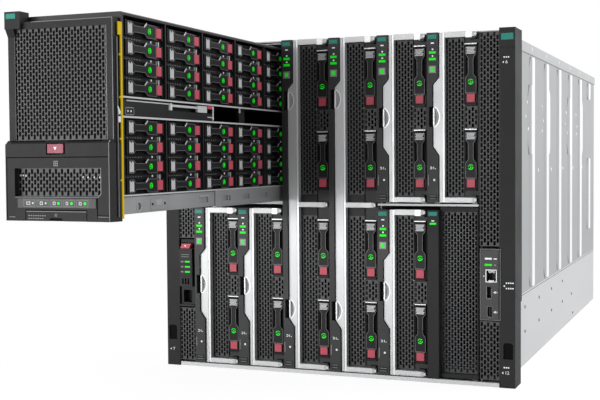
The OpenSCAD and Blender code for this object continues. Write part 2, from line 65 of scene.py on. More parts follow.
def newGroup(name, kind, inputs, outputs):
    tree = bpy.data.node_groups.new(name, kind)
    for label, socketKind, value in inputs:
        socket = tree.interface.new_socket(name=label, in_out="INPUT", socket_type=socketKind)
        if value is not None:
            socket.default_value = value
    for label, socketKind in outputs:
        tree.interface.new_socket(name=label, in_out="OUTPUT", socket_type=socketKind)
    return tree, tree.nodes.new("NodeGroupInput"), tree.nodes.new("NodeGroupOutput")


def makeGrainGroup():
    # Fine: grain of the surface; Broad: slow patches of handling and dust
    tree, given, result = newGroup("surfaceGrain", "ShaderNodeTree", [
        ("Scale", "NodeSocketFloat", 900.0), ("Stretch", "NodeSocketVector", (1, 1, 1)),
        ("Patch Scale", "NodeSocketFloat", 14.0)],
        [("Fine", "NodeSocketFloat"), ("Broad", "NodeSocketFloat")])
    place = addNode(tree, "ShaderNodeTexCoord").outputs["Object"]
    stretched = addNode(tree, "ShaderNodeVectorMath", {0: place, 1: given.outputs["Stretch"]},
                        operation="MULTIPLY").outputs[0]
    fine = addNode(tree, "ShaderNodeTexNoise", {"Vector": stretched, "Scale": given.outputs["Scale"],
                                                "Detail": 3.0, "Roughness": 0.6})
    broad = addNode(tree, "ShaderNodeTexNoise", {"Vector": place, "Scale": given.outputs["Patch Scale"],
                                                 "Detail": 5.0, "Roughness": 0.65})
    tree.links.new(fine.outputs["Fac"], result.inputs["Fine"])
    tree.links.new(broad.outputs["Fac"], result.inputs["Broad"])
    return tree


grainGroup = makeGrainGroup()


def shade(colour, factor):
    return tuple(min(1.0, c * factor) for c in colour) + (1.0,)


def makeFinish(name, colour, roughness, metallic=0.0, spread=0.12, grain=900.0, stretch=(1, 1, 1),
               patch=14.0, bump=0.05, coat=0.0, glow=0.0, specular=0.5):
    material = bpy.data.materials.new(name)
    material.use_nodes = True
    tree = material.node_tree
    shader = tree.nodes["Principled BSDF"]
    surface = addNode(tree, "ShaderNodeGroup", node_tree=grainGroup)
    surface.inputs["Scale"].default_value = grain
    surface.inputs["Stretch"].default_value = stretch
    surface.inputs["Patch Scale"].default_value = patch
    tint = addNode(tree, "ShaderNodeMix", data_type="RGBA")
    tint.inputs[6].default_value = shade(colour, 1 - spread)
    tint.inputs[7].default_value = shade(colour, 1 + spread)
    tree.links.new(surface.outputs["Broad"], tint.inputs[0])
    tree.links.new(tint.outputs[2], shader.inputs["Base Color"])
    rough = addNode(tree, "ShaderNodeMapRange", {"Value": surface.outputs["Broad"], "From Min": 0.3,
                                                 "From Max": 0.7, "To Min": roughness - 0.06,
                                                 "To Max": roughness + 0.06})
    tree.links.new(rough.outputs[0], shader.inputs["Roughness"])
    relief = addNode(tree, "ShaderNodeBump", {"Height": surface.outputs["Fine"], "Strength": bump,
                                              "Distance": 0.0004})
    tree.links.new(relief.outputs[0], shader.inputs["Normal"])
    shader.inputs["Metallic"].default_value = metallic
    shader.inputs["Coat Weight"].default_value = coat
    shader.inputs["Specular IOR Level"].default_value = specular
    if glow:
        shader.inputs["Emission Color"].default_value = (*colour, 1)
        shader.inputs["Emission Strength"].default_value = glow
    return material


def splitFinish(name, axis, limit, below, above, grain=900.0, bump=0.05, specular=0.3):
    # One finish below a plane across the given axis, another above it; each is (colour, roughness, metallic)
    material = makeFinish(name, below[0], below[1], grain=grain, bump=bump, specular=specular)
    tree = material.node_tree
    shader = tree.nodes["Principled BSDF"]
    place = addNode(tree, "ShaderNodeTexCoord").outputs["Object"]
    along = addNode(tree, "ShaderNodeSeparateXYZ", {0: place}).outputs["XYZ".index(axis)]
    mask = mathNode(tree, "GREATER_THAN", along, limit)
    first = shader.inputs["Base Color"].links[0].from_socket
    colour = addNode(tree, "ShaderNodeMix", data_type="RGBA")
    colour.inputs[7].default_value = (*above[0], 1)
    tree.links.new(mask, colour.inputs[0])
    tree.links.new(first, colour.inputs[6])
    tree.links.new(colour.outputs[2], shader.inputs["Base Color"])
    rough = shader.inputs["Roughness"].links[0].from_socket
    change = addNode(tree, "ShaderNodeMath", {0: mask, 1: above[1] - below[1]}, operation="MULTIPLY").outputs[0]
    tree.links.new(mathNode(tree, "ADD", rough, change), shader.inputs["Roughness"])
    metal = addNode(tree, "ShaderNodeMapRange", {"Value": mask, "To Min": below[2], "To Max": above[2]})
    tree.links.new(metal.outputs[0], shader.inputs["Metallic"])
    return material


finish = dict(
    caseSteel=makeFinish("caseSteel", (0.49, 0.495, 0.5), 0.45, 0.2, 0.05, 260, (1, 0.08, 1), 5, 0.04),
    # tray steel: the case steel made lighter, painted light from the floor bounce on the lower wall
    trayLitSteel=makeFinish("trayLitSteel", (0.6, 0.605, 0.61), 0.45, 0.2, 0.05, 260, (1, 0.08, 1), 5, 0.04),
    handleSilver=makeFinish("handleSilver", (0.58, 0.585, 0.59), 0.4, 0.2, 0.06, 500, (1, 1, 0.06), 9, 0.05),
    # bright silver; on the handles it paints highlights
    tipSilver=makeFinish("tipSilver", (0.9, 0.905, 0.91), 0.34, 0.2, 0.04, 500, (1, 1, 1), 20, 0.03),
    charcoal=makeFinish("charcoalPlastic", (0.024, 0.024, 0.025), 0.5, 0, 0.14, 1500, (1, 1, 1), 16, 0.12,
                        specular=0.13),
    black=makeFinish("bladeBlack", (0.014, 0.014, 0.015), 0.46, 0, 0.2, 1300, (1, 1, 1), 20, 0.08, specular=0.2),
    grille=makeFinish("grilleBlack", (0.06, 0.06, 0.062), 0.42, 0, 0.12, 1100, (1, 1, 1), 20, 0.04, specular=0.3),
    carrier=makeFinish("carrierBlack", (0.010, 0.010, 0.011), 0.42, 0, 0.2, 1500, (1, 1, 1), 30, 0.08, specular=0.16),
    rivetGrey=makeFinish("rivetGrey", (0.2, 0.2, 0.205), 0.4, 0.3, 0.1, 1500, (1, 1, 1), 30, 0.04),
    # grey for painted highlights along edges, and for thin outlines
    carrierEdge=makeFinish("carrierEdge", (0.13, 0.13, 0.135), 0.4, 0, 0.1, 1500, (1, 1, 1), 30, 0.04),
    # light silver for carrier lips and cage bars, and a painted highlight on the drawer carriers' levers
    carrierLip=makeFinish("carrierLip", (0.62, 0.63, 0.64), 0.32, 0.3, 0.08, 1500, (1, 1, 1), 30, 0.03),
    releaseRed=makeFinish("releaseRed", (0.54, 0.075, 0.11), 0.42, 0, 0.08, 1500, (1, 1, 1), 60, 0.05, specular=0.3),
    buttonRed=makeFinish("drawerButtonRed", (0.32, 0.045, 0.085), 0.4, 0, 0.1, 1500, (1, 1, 1), 60, 0.05,
                         specular=0.3),
    ledGreen=makeFinish("ledGreen", (0.0, 0.8, 0.005), 0.4, 0, 0.08, 1500, (1, 1, 1), 80, 0.02, 0, 0.25,
                        specular=0.2),
    # white print and marks, given a faint painted glow though they are no lamps
    ledWhite=makeFinish("ledWhite", (0.82, 0.83, 0.84), 0.35, 0, 0.05, 1500, (1, 1, 1), 80, 0.02, 0, 0.15),
    markGrey=makeFinish("markGrey", (0.24, 0.24, 0.245), 0.5, 0, 0.12, 1500, (1, 1, 1), 60, 0.02),
    labelGrey=makeFinish("labelGrey", (0.62, 0.62, 0.63), 0.5, 0, 0.15, 1500, (1, 1, 1), 90, 0.02),
    panelGrey=makeFinish("panelGrey", (0.045, 0.045, 0.047), 0.42, 0, 0.1, 1500, (1, 1, 1), 60, 0.03, specular=0.3),
    # near-black painted shade for gaps, grooves, seams and recesses
    gapBlack=makeFinish("gapBlack", (0.004, 0.004, 0.004), 0.6, 0, 0.2, 1500, (1, 1, 1), 60, 0.02, specular=0.05),
    teal=makeFinish("tealTab", (0.005, 0.25, 0.19), 0.45, 0, 0.08, 1500, (1, 1, 1), 60, 0.03, specular=0.3),
    yellow=makeFinish("yellowStrip", (0.72, 0.5, 0.0), 0.45, 0, 0.05, 1500, (1, 1, 1), 40, 0.03, specular=0.15),
    railSteel=makeFinish("railSteel", (0.36, 0.365, 0.37), 0.42, 0.45, 0.1, 500, (1, 0.05, 1), 12, 0.06),
    rearGrey=makeFinish("rearGrey", (0.1, 0.1, 0.105), 0.45, 0.2, 0.12, 1100, (1, 1, 1), 14, 0.05),
    board=makeFinish("boardGreen", (0.02, 0.1, 0.045), 0.4, 0.0, 0.2, 700, (1, 1, 1), 40, 0.05),
    buttonGrey=makeFinish("buttonGrey", (0.3, 0.32, 0.31), 0.35, 0.0, 0.06, 1500, (1, 1, 1), 60, 0.02),
    portMetal=makeFinish("portMetal", (0.5, 0.5, 0.51), 0.34, 0.5, 0.06, 900, (1, 1, 1), 40, 0.03),
)
dark = (0.022, 0.022, 0.023)
plated = (0.45, 0.46, 0.47)
finish["sled"] = splitFinish("bladeShell", "Y", -0.4427, (dark, 0.46, 0.0), (plated, 0.42, 0.4))
finish["drawerShell"] = splitFinish("drawerShell", "Z", 0.2487, ((0.36, 0.365, 0.37), 0.42, 0.45),
                                    ((0.014, 0.014, 0.015), 0.46, 0.0))

# Side panels: plain steel, with a painted highlight on the rib crests
panel = dict(plain=(0.4, 0.405, 0.41), crestHighlight=(0.95, 0.955, 0.96), wall=0.2247, top=0.2251)
finish["panelSteel"] = makeFinish("panelSteel", panel["plain"], 0.45, 0.2, 0.05, 260, (1, 0.08, 1), 5, 0.04)
tree = finish["panelSteel"].node_tree
shader = tree.nodes["Principled BSDF"]
across = addNode(tree, "ShaderNodeSeparateXYZ", {
    0: addNode(tree, "ShaderNodeTexCoord").outputs["Object"]}).outputs["X"]
# painted highlight: base colour turns near-white as |x| rises from the wall to the rib top
crestHighlight = addNode(tree, "ShaderNodeMapRange", {"Value": mathNode(tree, "ABSOLUTE", across),
                                             "From Min": panel["wall"], "From Max": panel["top"]}).outputs[0]
crestHighlightMix = addNode(tree, "ShaderNodeMix", data_type="RGBA")
crestHighlightMix.inputs[7].default_value = (*panel["crestHighlight"], 1)
tree.links.new(shader.inputs["Base Color"].links[0].from_socket, crestHighlightMix.inputs[6])
tree.links.new(crestHighlight, crestHighlightMix.inputs[0])
tree.links.new(crestHighlightMix.outputs[2], shader.inputs["Base Color"])

cadFinish = dict(
    base_tray="trayLitSteel", side_panels="panelSteel", top_cover="caseSteel", bay_frame="caseSteel",
    midplane="board", ear_covers="charcoal", console_panel="panelGrey", rear_frame="caseSteel",
    fan_modules="rearGrey", interconnect_modules="rearGrey", power_supplies="rearGrey",
    storage_frame="caseSteel", appliance_module="black", appliance_latch="releaseRed",
    drawer_body="drawerShell", drawer_bezel="charcoal", drawer_button="buttonRed", slide_rails="railSteel",
    io_adapter="black", io_lever="handleSilver", info_tab="charcoal")
for number in bladeNumbers:
    cadFinish[f"blade_{number}_sled"] = "sled"
    cadFinish[f"blade_{number}_handle"] = "handleSilver"
    cadFinish[f"blade_{number}_button"] = "buttonGrey"
for nodeName, finishName in cadFinish.items():
    slots = nodes[nodeName].material_slots
    for slot in slots:
        slot.material = finish[finishName]
print("stage: finishes made")


def slab(bm, lo, hi, material=0, bevel=0.0):
    # A block between two corners, in millimetres
    lo, hi = Vector(lo) * mm, Vector(hi) * mm
    grown = Matrix.Translation((lo + hi) / 2) @ Matrix.Diagonal((*(hi - lo), 1))
    made = bmesh.ops.create_cube(bm, size=1.0, matrix=grown)["verts"]
    for face in {f for v in made for f in v.link_faces}:
        face.material_index = material
    if bevel:
        edges = list({e for v in made for e in v.link_edges})
        bmesh.ops.bevel(bm, geom=edges, offset=bevel * mm, segments=1, affect="EDGES", material=-1)


def prism(bm, outline, bottom, top, material=0):
    # A flat outline in millimetres, raised from bottom to top along z
    low = [bm.verts.new((x * mm, y * mm, bottom * mm)) for x, y in outline]
    high = [bm.verts.new((x * mm, y * mm, top * mm)) for x, y in outline]
    count = len(outline)
    faces = [bm.faces.new(high), bm.faces.new(low[::-1])]
    for i in range(count):
        j = (i + 1) % count
        faces.append(bm.faces.new((low[i], low[j], high[j], high[i])))
    for face in faces:
        face.material_index = material


def arcOutline(centre, inner, outer, start, end, steps):
    angles = [math.radians(start + (end - start) * i / steps) for i in range(steps + 1)]
    outside = [(centre[0] + outer * math.cos(a), centre[1] + outer * math.sin(a)) for a in angles]
    inside = [(centre[0] + inner * math.cos(a), centre[1] + inner * math.sin(a)) for a in reversed(angles)]
    return outside + inside


def circleOutline(centre, radius, steps=16):
    return [(centre[0] + radius * math.cos(2 * math.pi * i / steps),
             centre[1] + radius * math.sin(2 * math.pi * i / steps)) for i in range(steps)]


def makePiece(name, bm, finishNames, body, place=None):
    if place is not None:
        bmesh.ops.transform(bm, matrix=place, verts=bm.verts)
    bmesh.ops.recalc_face_normals(bm, faces=bm.faces)
    mesh = bpy.data.meshes.new(name)
    bm.to_mesh(mesh)
    bm.free()
    for finishName in finishNames:
        mesh.materials.append(finish[finishName])
    piece = bpy.data.objects.new(name, mesh)
    bpy.context.scene.collection.objects.link(piece)
    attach(piece, body)
    return piece


# Axes of a drawing on a face: x across, y up, z out of the face
facingFront = Matrix(((1, 0, 0, 0), (0, 0, -1, 0), (0, 1, 0, 0), (0, 0, 0, 1)))
facingRight = Matrix(((0, 0, 1, 0), (1, 0, 0, 0), (0, 1, 0, 0), (0, 0, 0, 1)))
facingRear = Matrix(((-1, 0, 0, 0), (0, 0, 1, 0), (0, 1, 0, 0), (0, 0, 0, 1)))


def onFace(turn, x, y, z):
    return Matrix.Translation((x, y, z)) @ turn


def makePerforatedTree():
    # A flat sheet with staggered columns of long hexagonal holes, standing upright and facing the front
    tree, given, result = newGroup("perforatedSheet", "GeometryNodeTree", [
        ("Geometry", "NodeSocketGeometry", None),
        ("Width", "NodeSocketFloat", 0.1), ("Height", "NodeSocketFloat", 0.1),
        ("Columns", "NodeSocketInt", 10), ("Rows", "NodeSocketInt", 10),
        ("Pitch X", "NodeSocketFloat", 0.0037), ("Pitch Z", "NodeSocketFloat", 0.0066),
        ("Hole Width", "NodeSocketFloat", 0.0022), ("Hole Height", "NodeSocketFloat", 0.0048),
        ("Thickness", "NodeSocketFloat", 0.001), ("Place", "NodeSocketVector", (0, 0, 0)),
        ("Finish", "NodeSocketMaterial", None)],
        [("Geometry", "NodeSocketGeometry")])
    g = given.outputs
    sizeX = mathNode(tree, "MULTIPLY", mathNode(tree, "SUBTRACT", g["Columns"], 1.0), g["Pitch X"])
    sizeY = mathNode(tree, "MULTIPLY", mathNode(tree, "SUBTRACT", g["Rows"], 1.0), g["Pitch Z"])
    grid = addNode(tree, "GeometryNodeMeshGrid", {"Size X": sizeX, "Size Y": sizeY,
                                                  "Vertices X": g["Columns"], "Vertices Y": g["Rows"]})
    position = addNode(tree, "GeometryNodeInputPosition").outputs[0]
    parts = addNode(tree, "ShaderNodeSeparateXYZ", {0: position}).outputs
    column = mathNode(tree, "DIVIDE", mathNode(tree, "ADD", parts["X"], mathNode(tree, "DIVIDE", sizeX, 2.0)),
                      g["Pitch X"])
    odd = mathNode(tree, "MODULO", mathNode(tree, "ROUND", column), 2.0)
    lift = mathNode(tree, "MULTIPLY", odd, mathNode(tree, "DIVIDE", g["Pitch Z"], 2.0))
    shifted = addNode(tree, "GeometryNodeSetPosition", {
        "Geometry": grid.outputs["Mesh"],
        "Offset": addNode(tree, "ShaderNodeCombineXYZ", {"Y": lift}).outputs[0]}).outputs[0]
    limit = mathNode(tree, "ADD", mathNode(tree, "DIVIDE", sizeY, 2.0), mathNode(tree, "DIVIDE", g["Pitch Z"], 4.0))
    beyond = addNode(tree, "FunctionNodeCompare", {0: parts["Y"], 1: limit}, data_type="FLOAT",
                     operation="GREATER_THAN").outputs[0]
    kept = addNode(tree, "GeometryNodeDeleteGeometry", {"Geometry": shifted, "Selection": beyond},
                   domain="POINT").outputs[0]
    radius = mathNode(tree, "MULTIPLY", g["Hole Width"], 0.5 / math.cos(math.pi / 6))
    hexagon = addNode(tree, "GeometryNodeMeshCircle", {"Vertices": 6, "Radius": radius}).outputs[0]
    turned = addNode(tree, "GeometryNodeTransform", {"Geometry": hexagon, "Rotation": (0, 0, math.pi / 6)}).outputs[0]
    side = mathNode(tree, "SIGN", parts["Y"])
    reach = mathNode(tree, "SUBTRACT", mathNode(tree, "DIVIDE", g["Hole Height"], 2.0), radius)
    long = addNode(tree, "GeometryNodeSetPosition", {
        "Geometry": turned, "Offset": addNode(tree, "ShaderNodeCombineXYZ", {
            "Y": mathNode(tree, "MULTIPLY", side, reach)}).outputs[0]}).outputs[0]
    hole = addNode(tree, "GeometryNodeMeshToCurve", {"Mesh": long}).outputs[0]
    holes = addNode(tree, "GeometryNodeInstanceOnPoints", {"Points": kept, "Instance": hole}).outputs[0]
    loose = addNode(tree, "GeometryNodeRealizeInstances", {"Geometry": holes}).outputs[0]
    rim = addNode(tree, "GeometryNodeCurvePrimitiveQuadrilateral", {"Width": g["Width"], "Height": g["Height"]})
    outline = addNode(tree, "GeometryNodeJoinGeometry")
    tree.links.new(loose, outline.inputs[0])
    tree.links.new(rim.outputs[0], outline.inputs[0])
    sheet = addNode(tree, "GeometryNodeFillCurve", {"Curve": outline.outputs[0]}).outputs[0]
    raised = addNode(tree, "GeometryNodeExtrudeMesh", {
        "Mesh": sheet, "Offset": (0.0, 0.0, 1.0), "Offset Scale": g["Thickness"], "Individual": False}).outputs[0]
    back = addNode(tree, "GeometryNodeFlipFaces", {"Mesh": sheet}).outputs[0]
    whole = addNode(tree, "GeometryNodeJoinGeometry")
    tree.links.new(raised, whole.inputs[0])
    tree.links.new(back, whole.inputs[0])
    welded = addNode(tree, "GeometryNodeMergeByDistance", {"Geometry": whole.outputs[0], "Distance": 1e-6}).outputs[0]
    placed = addNode(tree, "GeometryNodeTransform", {"Geometry": welded, "Translation": g["Place"],
                                                     "Rotation": (math.pi / 2, 0, 0)}).outputs[0]
    real = addNode(tree, "GeometryNodeRealizeInstances", {"Geometry": placed}).outputs[0]
    made = addNode(tree, "GeometryNodeSetMaterial", {"Geometry": real, "Material": g["Finish"]}).outputs[0]
    tree.links.new(made, result.inputs[0])
    return tree


def makeScatterTree():
    # One piece set down on every point, turned the same way
    tree, given, result = newGroup("piecesOnPoints", "GeometryNodeTree", [
        ("Geometry", "NodeSocketGeometry", None), ("Piece", "NodeSocketObject", None),
        ("Turn", "NodeSocketVector", (0, 0, 0)), ("Finish", "NodeSocketMaterial", None)],
        [("Geometry", "NodeSocketGeometry")])
    source = addNode(tree, "GeometryNodeObjectInfo", {"Object": given.outputs["Piece"]})
    spread = addNode(tree, "GeometryNodeInstanceOnPoints", {
        "Points": given.outputs["Geometry"], "Instance": source.outputs["Geometry"],
        "Rotation": given.outputs["Turn"]}).outputs[0]
    real = addNode(tree, "GeometryNodeRealizeInstances", {"Geometry": spread}).outputs[0]
    made = addNode(tree, "GeometryNodeSetMaterial", {"Geometry": real,
                                                     "Material": given.outputs["Finish"]}).outputs[0]
    tree.links.new(made, result.inputs[0])
    return tree


perforatedTree = makePerforatedTree()
scatterTree = makeScatterTree()


def runTree(piece, tree, values):
    modifier = piece.modifiers.new("tree", "NODES")
    modifier.node_group = tree
    identifiers = {item.name: item.identifier for item in tree.interface.items_tree if item.in_out == "INPUT"}
    for label, value in values.items():
        modifier[identifiers[label]] = value
    bpy.context.view_layer.update()
    depsgraph = bpy.context.evaluated_depsgraph_get()
    mesh = bpy.data.meshes.new_from_object(piece.evaluated_get(depsgraph))
    piece.modifiers.clear()
    piece.data = mesh
    return piece


def emptyPiece(name, points=((0, 0, 0),)):
    mesh = bpy.data.meshes.new(name)
    mesh.from_pydata([tuple(p) for p in points], [], [])
    piece = bpy.data.objects.new(name, mesh)
    bpy.context.scene.collection.objects.link(piece)
    return piece


def perforatedSheet(name, x0, x1, z0, z1, back, thickness=0.6, pitch=(3.7, 6.6), hole=(2.8, 5.9), margin=0.7):
    # Sizes in millimetres; back is the y of the sheet's rear face
    width, height = x1 - x0, z1 - z0
    spanX, spanZ = width - 2 * margin - hole[0], height - 2 * margin - hole[1]
    columns, rows = round(spanX / pitch[0]) + 1, round(spanZ / pitch[1]) + 1
    pitch = (spanX / (columns - 1), spanZ / (rows - 1))
    return runTree(emptyPiece(name), perforatedTree, {
        "Width": width * mm, "Height": height * mm, "Columns": columns, "Rows": rows,
        "Pitch X": pitch[0] * mm, "Pitch Z": pitch[1] * mm, "Hole Width": hole[0] * mm,
        "Hole Height": hole[1] * mm, "Thickness": thickness * mm,
        "Place": ((x0 + x1) / 2 * mm, back * mm, (z0 + z1) / 2 * mm), "Finish": finish["grille"]})


def scatter(name, template, places, turn, finishName):
    # template is a mesh; places are in metres
    source = bpy.data.objects.new(name + "Source", template)
    bpy.context.scene.collection.objects.link(source)
    piece = runTree(emptyPiece(name, places), scatterTree, {
        "Piece": source, "Turn": turn, "Finish": finish[finishName]})
    bpy.data.objects.remove(source)
    return piece


def joinPieces(name, pieces):
    bm = bmesh.new()
    materials = []
    for piece in pieces:
        before = len(bm.faces)
        bm.from_mesh(piece.data)
        bm.faces.ensure_lookup_table()
        shift = len(materials)
        for face in bm.faces[before:]:
            face.material_index += shift
        materials += list(piece.data.materials)
        bpy.data.objects.remove(piece)
    mesh = bpy.data.meshes.new(name)
    bm.to_mesh(mesh)
    bm.free()
    for material in materials:
        mesh.materials.append(material)
    piece = bpy.data.objects.new(name, mesh)
    bpy.context.scene.collection.objects.link(piece)
    return piece


def mounted(piece, body, slotName, *replaced):
    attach(piece, body)
    if replaced:
        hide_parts(*replaced)
    return piece


print("stage: node trees made")


carrier = dict(length=76.8, width=16.0, depth=100.0, rise=3.2, ringAt=47.5, ringOuter=3.4,
               release=(62.2, 2.8, 72.8, 13.2), rowPitch=19.8)


def makeTemplates(inDrawer):
    size = carrier
    mid = size["width"] / 2
    right = size["width"]
    bodyShape = bmesh.new()
    slab(bodyShape, (0, 0, -2.5), (size["length"], right, 0), 0, 0.25)
    slab(bodyShape, (1.5, 0.7, -size["depth"]), (size["length"] - 1.5, right - 0.7, -2.5))
    slab(bodyShape, (0, 0, 0), (2.6, right, size["rise"]), 0, 0.3)
    slab(bodyShape, (74, 1, 0), (76.8, right - 1, 2.4), 0, 0.3)
    lever = [(4.0, 1.2), (13, 1.2), (18, mid - 3.4), (38, mid - 3.4), (42.5, 1), (61, 1), (61, right - 1),
             (42.5, right - 1), (38, mid + 3.4), (18, mid + 3.4), (13, right - 1.2), (4.0, right - 1.2)]
    prism(bodyShape, lever, 0, size["rise"])
    leverHighlightShape = bmesh.new()      # painted highlight along the lever's upper edges
    for a, b in zip(lever, lever[1:] + lever[:1]):
        along = Vector((b[0] - a[0], b[1] - a[1])).normalized()
        inward = Vector((-along.y, along.x)) * 0.5
        prism(leverHighlightShape, [a, b, (b[0] + inward.x, b[1] + inward.y), (a[0] + inward.x, a[1] + inward.y)],
              size["rise"] - 0.3, size["rise"] + 0.05)
    slab(leverHighlightShape, (61.4, 1.2, 0.2), (61.9, right - 1.2, 2.9))
    lipAndHighlightShape = bmesh.new()
    # in the drawer, a painted highlight along the lever's slanted edge; on the blades, the carrier's silver lip
    if inDrawer:
        a, b = (37.6, mid + 3.2), (42.3, right - 1.0)
        prism(lipAndHighlightShape, [a, b, (b[0] - 0.4, b[1] + 1.5), (a[0] - 1.0, a[1] + 1.2)],
              size["rise"] - 0.2, size["rise"] + 0.2)
    else:
        slab(lipAndHighlightShape, (-0.1, 0.5, 2.9), (1.3, right - 0.5, 3.4), 0, 0.1)
    redShape = bmesh.new()
    r = size["release"]
    slab(redShape, (r[0], r[1], 0), (r[2], r[3], size["rise"]), 0, 0.5)
    ringShape = bmesh.new()
    centre, outer = (size["ringAt"], mid), size["ringOuter"] - (0.3 if inDrawer else 0)
    prism(ringShape, arcOutline(centre, outer - 1.4, outer, -65, 95, 10), size["rise"], size["rise"] + 0.3)
    prism(ringShape, arcOutline(centre, outer - 0.9, outer, 120, 260, 9), size["rise"], size["rise"] + 0.3)
    prism(ringShape, circleOutline(centre, 1.0, 8), size["rise"], size["rise"] + 0.3)
    recessShadeShape = bmesh.new()           # painted shade on the floor of the recess beside the lever
    slab(recessShadeShape, (2.9, 0.6, -0.2), (61.3, right - 0.6, 0.08))
    labelShape = bmesh.new()
    for i in range(5):
        slab(labelShape, (4.8 + i * 1.7, 2.4 + (i % 2) * 0.7, size["rise"]),
             (6.1 + i * 1.7, right - 2.4 - (i % 3) * 0.8, size["rise"] + 0.15))
    shapes = dict(carrier=bodyShape, carrierEdge=leverHighlightShape, carrierLip=lipAndHighlightShape, gapBlack=recessShadeShape, releaseRed=redShape,
                  ledGreen=ringShape, labelGrey=labelShape)
    meshes = {}
    for finishName, bm in shapes.items():
        bmesh.ops.recalc_face_normals(bm, faces=bm.faces)
        meshes[finishName] = bpy.data.meshes.new("carrierPart" + finishName)
        bm.to_mesh(meshes[finishName])
        bm.free()
    return meshes


def makeCageTemplates():
    # Dark strip between two rows of the drawer's drives, with its light dot and two bars
    meshes = {}
    stripShape, barShape, dotShape = bmesh.new(), bmesh.new(), bmesh.new()
    low, high = carrier["width"] + 0.3, carrier["rowPitch"] - 0.3
    slab(stripShape, (0, low, -4), (carrier["length"] + 4, high, -1.2))
    slab(barShape, (66.6, low - 1.5, -1.4), (67.2, high - 0.4, 0.4))
    slab(barShape, (69.8, low - 2.6, -1.4), (71.7, high - 0.4, 0.6))
    for i in range(6):
        slab(barShape, (8 + i * 5.2, low + 0.9, -1.4), (9.2 + i * 5.2, low + 1.4, -1.1))
    prism(dotShape, circleOutline((57.2, low + 1.6), 1.2, 10), -1.3, -0.7)
    for finishName, bm in dict(carrier=stripShape, carrierLip=barShape, ledWhite=dotShape).items():
        bmesh.ops.recalc_face_normals(bm, faces=bm.faces)
        meshes[finishName] = bpy.data.meshes.new("cagePart" + finishName)
        bm.to_mesh(meshes[finishName])
        bm.free()
    return meshes


def makeCarriers(name, templates, places, turn):
    pieces = [scatter(name + finishName, template, places, turn, finishName)
              for finishName, template in templates.items()]
    return joinPieces(name, pieces)


templates = makeTemplates(False)
uprightTurn = Matrix(((0, 1, 0), (0, 0, -1), (-1, 0, 0))).to_euler()   # length downwards, face to the front
sidewaysTurn = Matrix(((0, 0, 1), (1, 0, 0), (0, 1, 0))).to_euler()    # length to the rear, face to the right
for number in bladeNumbers:
    lo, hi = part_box(f"blade_{number}_drives")
    count = 4 if hi.z - lo.z > 0.25 else 2
    sledLo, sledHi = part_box(f"blade_{number}_sled")
    heights = [sledLo.z + (z + carrier["length"]) * mm for z in
               ([14.8, 120.5, 235.8, 341.5] if count == 4 else [14.8, 120.5])]
    front = lo.y + carrier["rise"] * mm
    piece = makeCarriers(f"blade{number}Carriers", templates, [(lo.x, front, z) for z in heights], uprightTurn)
    mounted(piece, f"blade_{number}", "carrier_black", f"blade_{number}_drives")
lo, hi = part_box("drawer_drives")
faceX = hi.x - carrier["rise"] * mm
drawerRows = [lo.z + (row * 19.8 + (99.4 if row > 3 else 0) - (79.2 if row > 3 else 0)) * mm for row in range(8)]
places = [(faceX, lo.y + column * 86.2 * mm, z) for z in drawerRows for column in range(5)]
drawerTemplates = makeTemplates(True)
mounted(makeCarriers("drawerCarriers", drawerTemplates, places, sidewaysTurn), "drawer", "carrier_black",
        "drawer_drives")
cageTemplates = makeCageTemplates()
places = [(faceX, lo.y + column * 86.2 * mm, z) for i, z in enumerate(drawerRows) for column in range(5)
          if i not in (3, 7)]
mounted(makeCarriers("drawerCageStrips", cageTemplates, places, sidewaysTurn), "drawer", "carrier_black")
for template in [*templates.values(), *drawerTemplates.values(), *cageTemplates.values()]:
    bpy.data.meshes.remove(template)
print("stage: drive carriers placed")


sheetEdges = dict(left=21.4, right=45.4, low=7.4, bridge=14, fineLeft=45.9, fineRight=62.6, fineLow=92.4, fineHigh=119.6)


def meshPiece(name, bm, *finishNames):
    bmesh.ops.recalc_face_normals(bm, faces=bm.faces)
    mesh = bpy.data.meshes.new(name)
    bm.to_mesh(mesh)
    bm.free()
    for finishName in finishNames:
        mesh.materials.append(finish[finishName])
    piece = bpy.data.objects.new(name, mesh)
    bpy.context.scene.collection.objects.link(piece)
    return piece


for number in bladeNumbers:
    lo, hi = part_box(f"blade_{number}_grille")
    sledLo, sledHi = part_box(f"blade_{number}_sled")
    face = lo.y / mm
    x0, z0, z1 = sledLo.x / mm - 0.6, sledLo.z / mm, sledHi.z / mm
    e = sheetEdges
    full = z1 - z0 > 300
    middle = (z0 + z1) / 2
    spans = [(z0 + e["low"], middle - e["bridge"]), (middle + e["bridge"], z1 - e["low"])] if full else \
            [(z0 + e["low"], z1 - e["low"])]
    parts = [perforatedSheet("bay", x0 + e["left"], x0 + e["right"], low, high, face - 0.25) for low, high in spans]
    parts += [perforatedSheet("fine", x0 + e["fineLeft"], x0 + e["fineRight"], z0 + e["fineLow"] + step,
                              z0 + e["fineHigh"] + step, face - 0.25, 0.5, (3.7, 6.6), (2.7, 5.6), 0.6)
              for step in ((0, 221) if full else (0,))]
    plain = bmesh.new()          # painted shade behind the sheets, and a plain bridge between them
    for low, high in spans:
        slab(plain, (x0 + e["left"] + 0.2, face - 0.2, low + 0.2), (x0 + e["right"] - 0.2, face - 0.1, high - 0.2))
    if full:
        slab(plain, (x0 + e["left"], face - 0.8, middle - e["bridge"]), (x0 + e["right"], face - 0.1, middle + e["bridge"]), 1)
    for step in ((0, 221) if full else (0,)):
        for z in (90.9, 120.4):
            slab(plain, (x0 + 44.4, face - 0.9, z0 + z + step), (x0 + 46.4, face - 0.1, z0 + z + 1.3 + step), 2)
    parts.append(meshPiece("plain", plain, "gapBlack", "black", "markGrey"))
    mounted(joinPieces(f"blade{number}Grille", parts), f"blade_{number}", "grille_black",
            f"blade_{number}_grille")

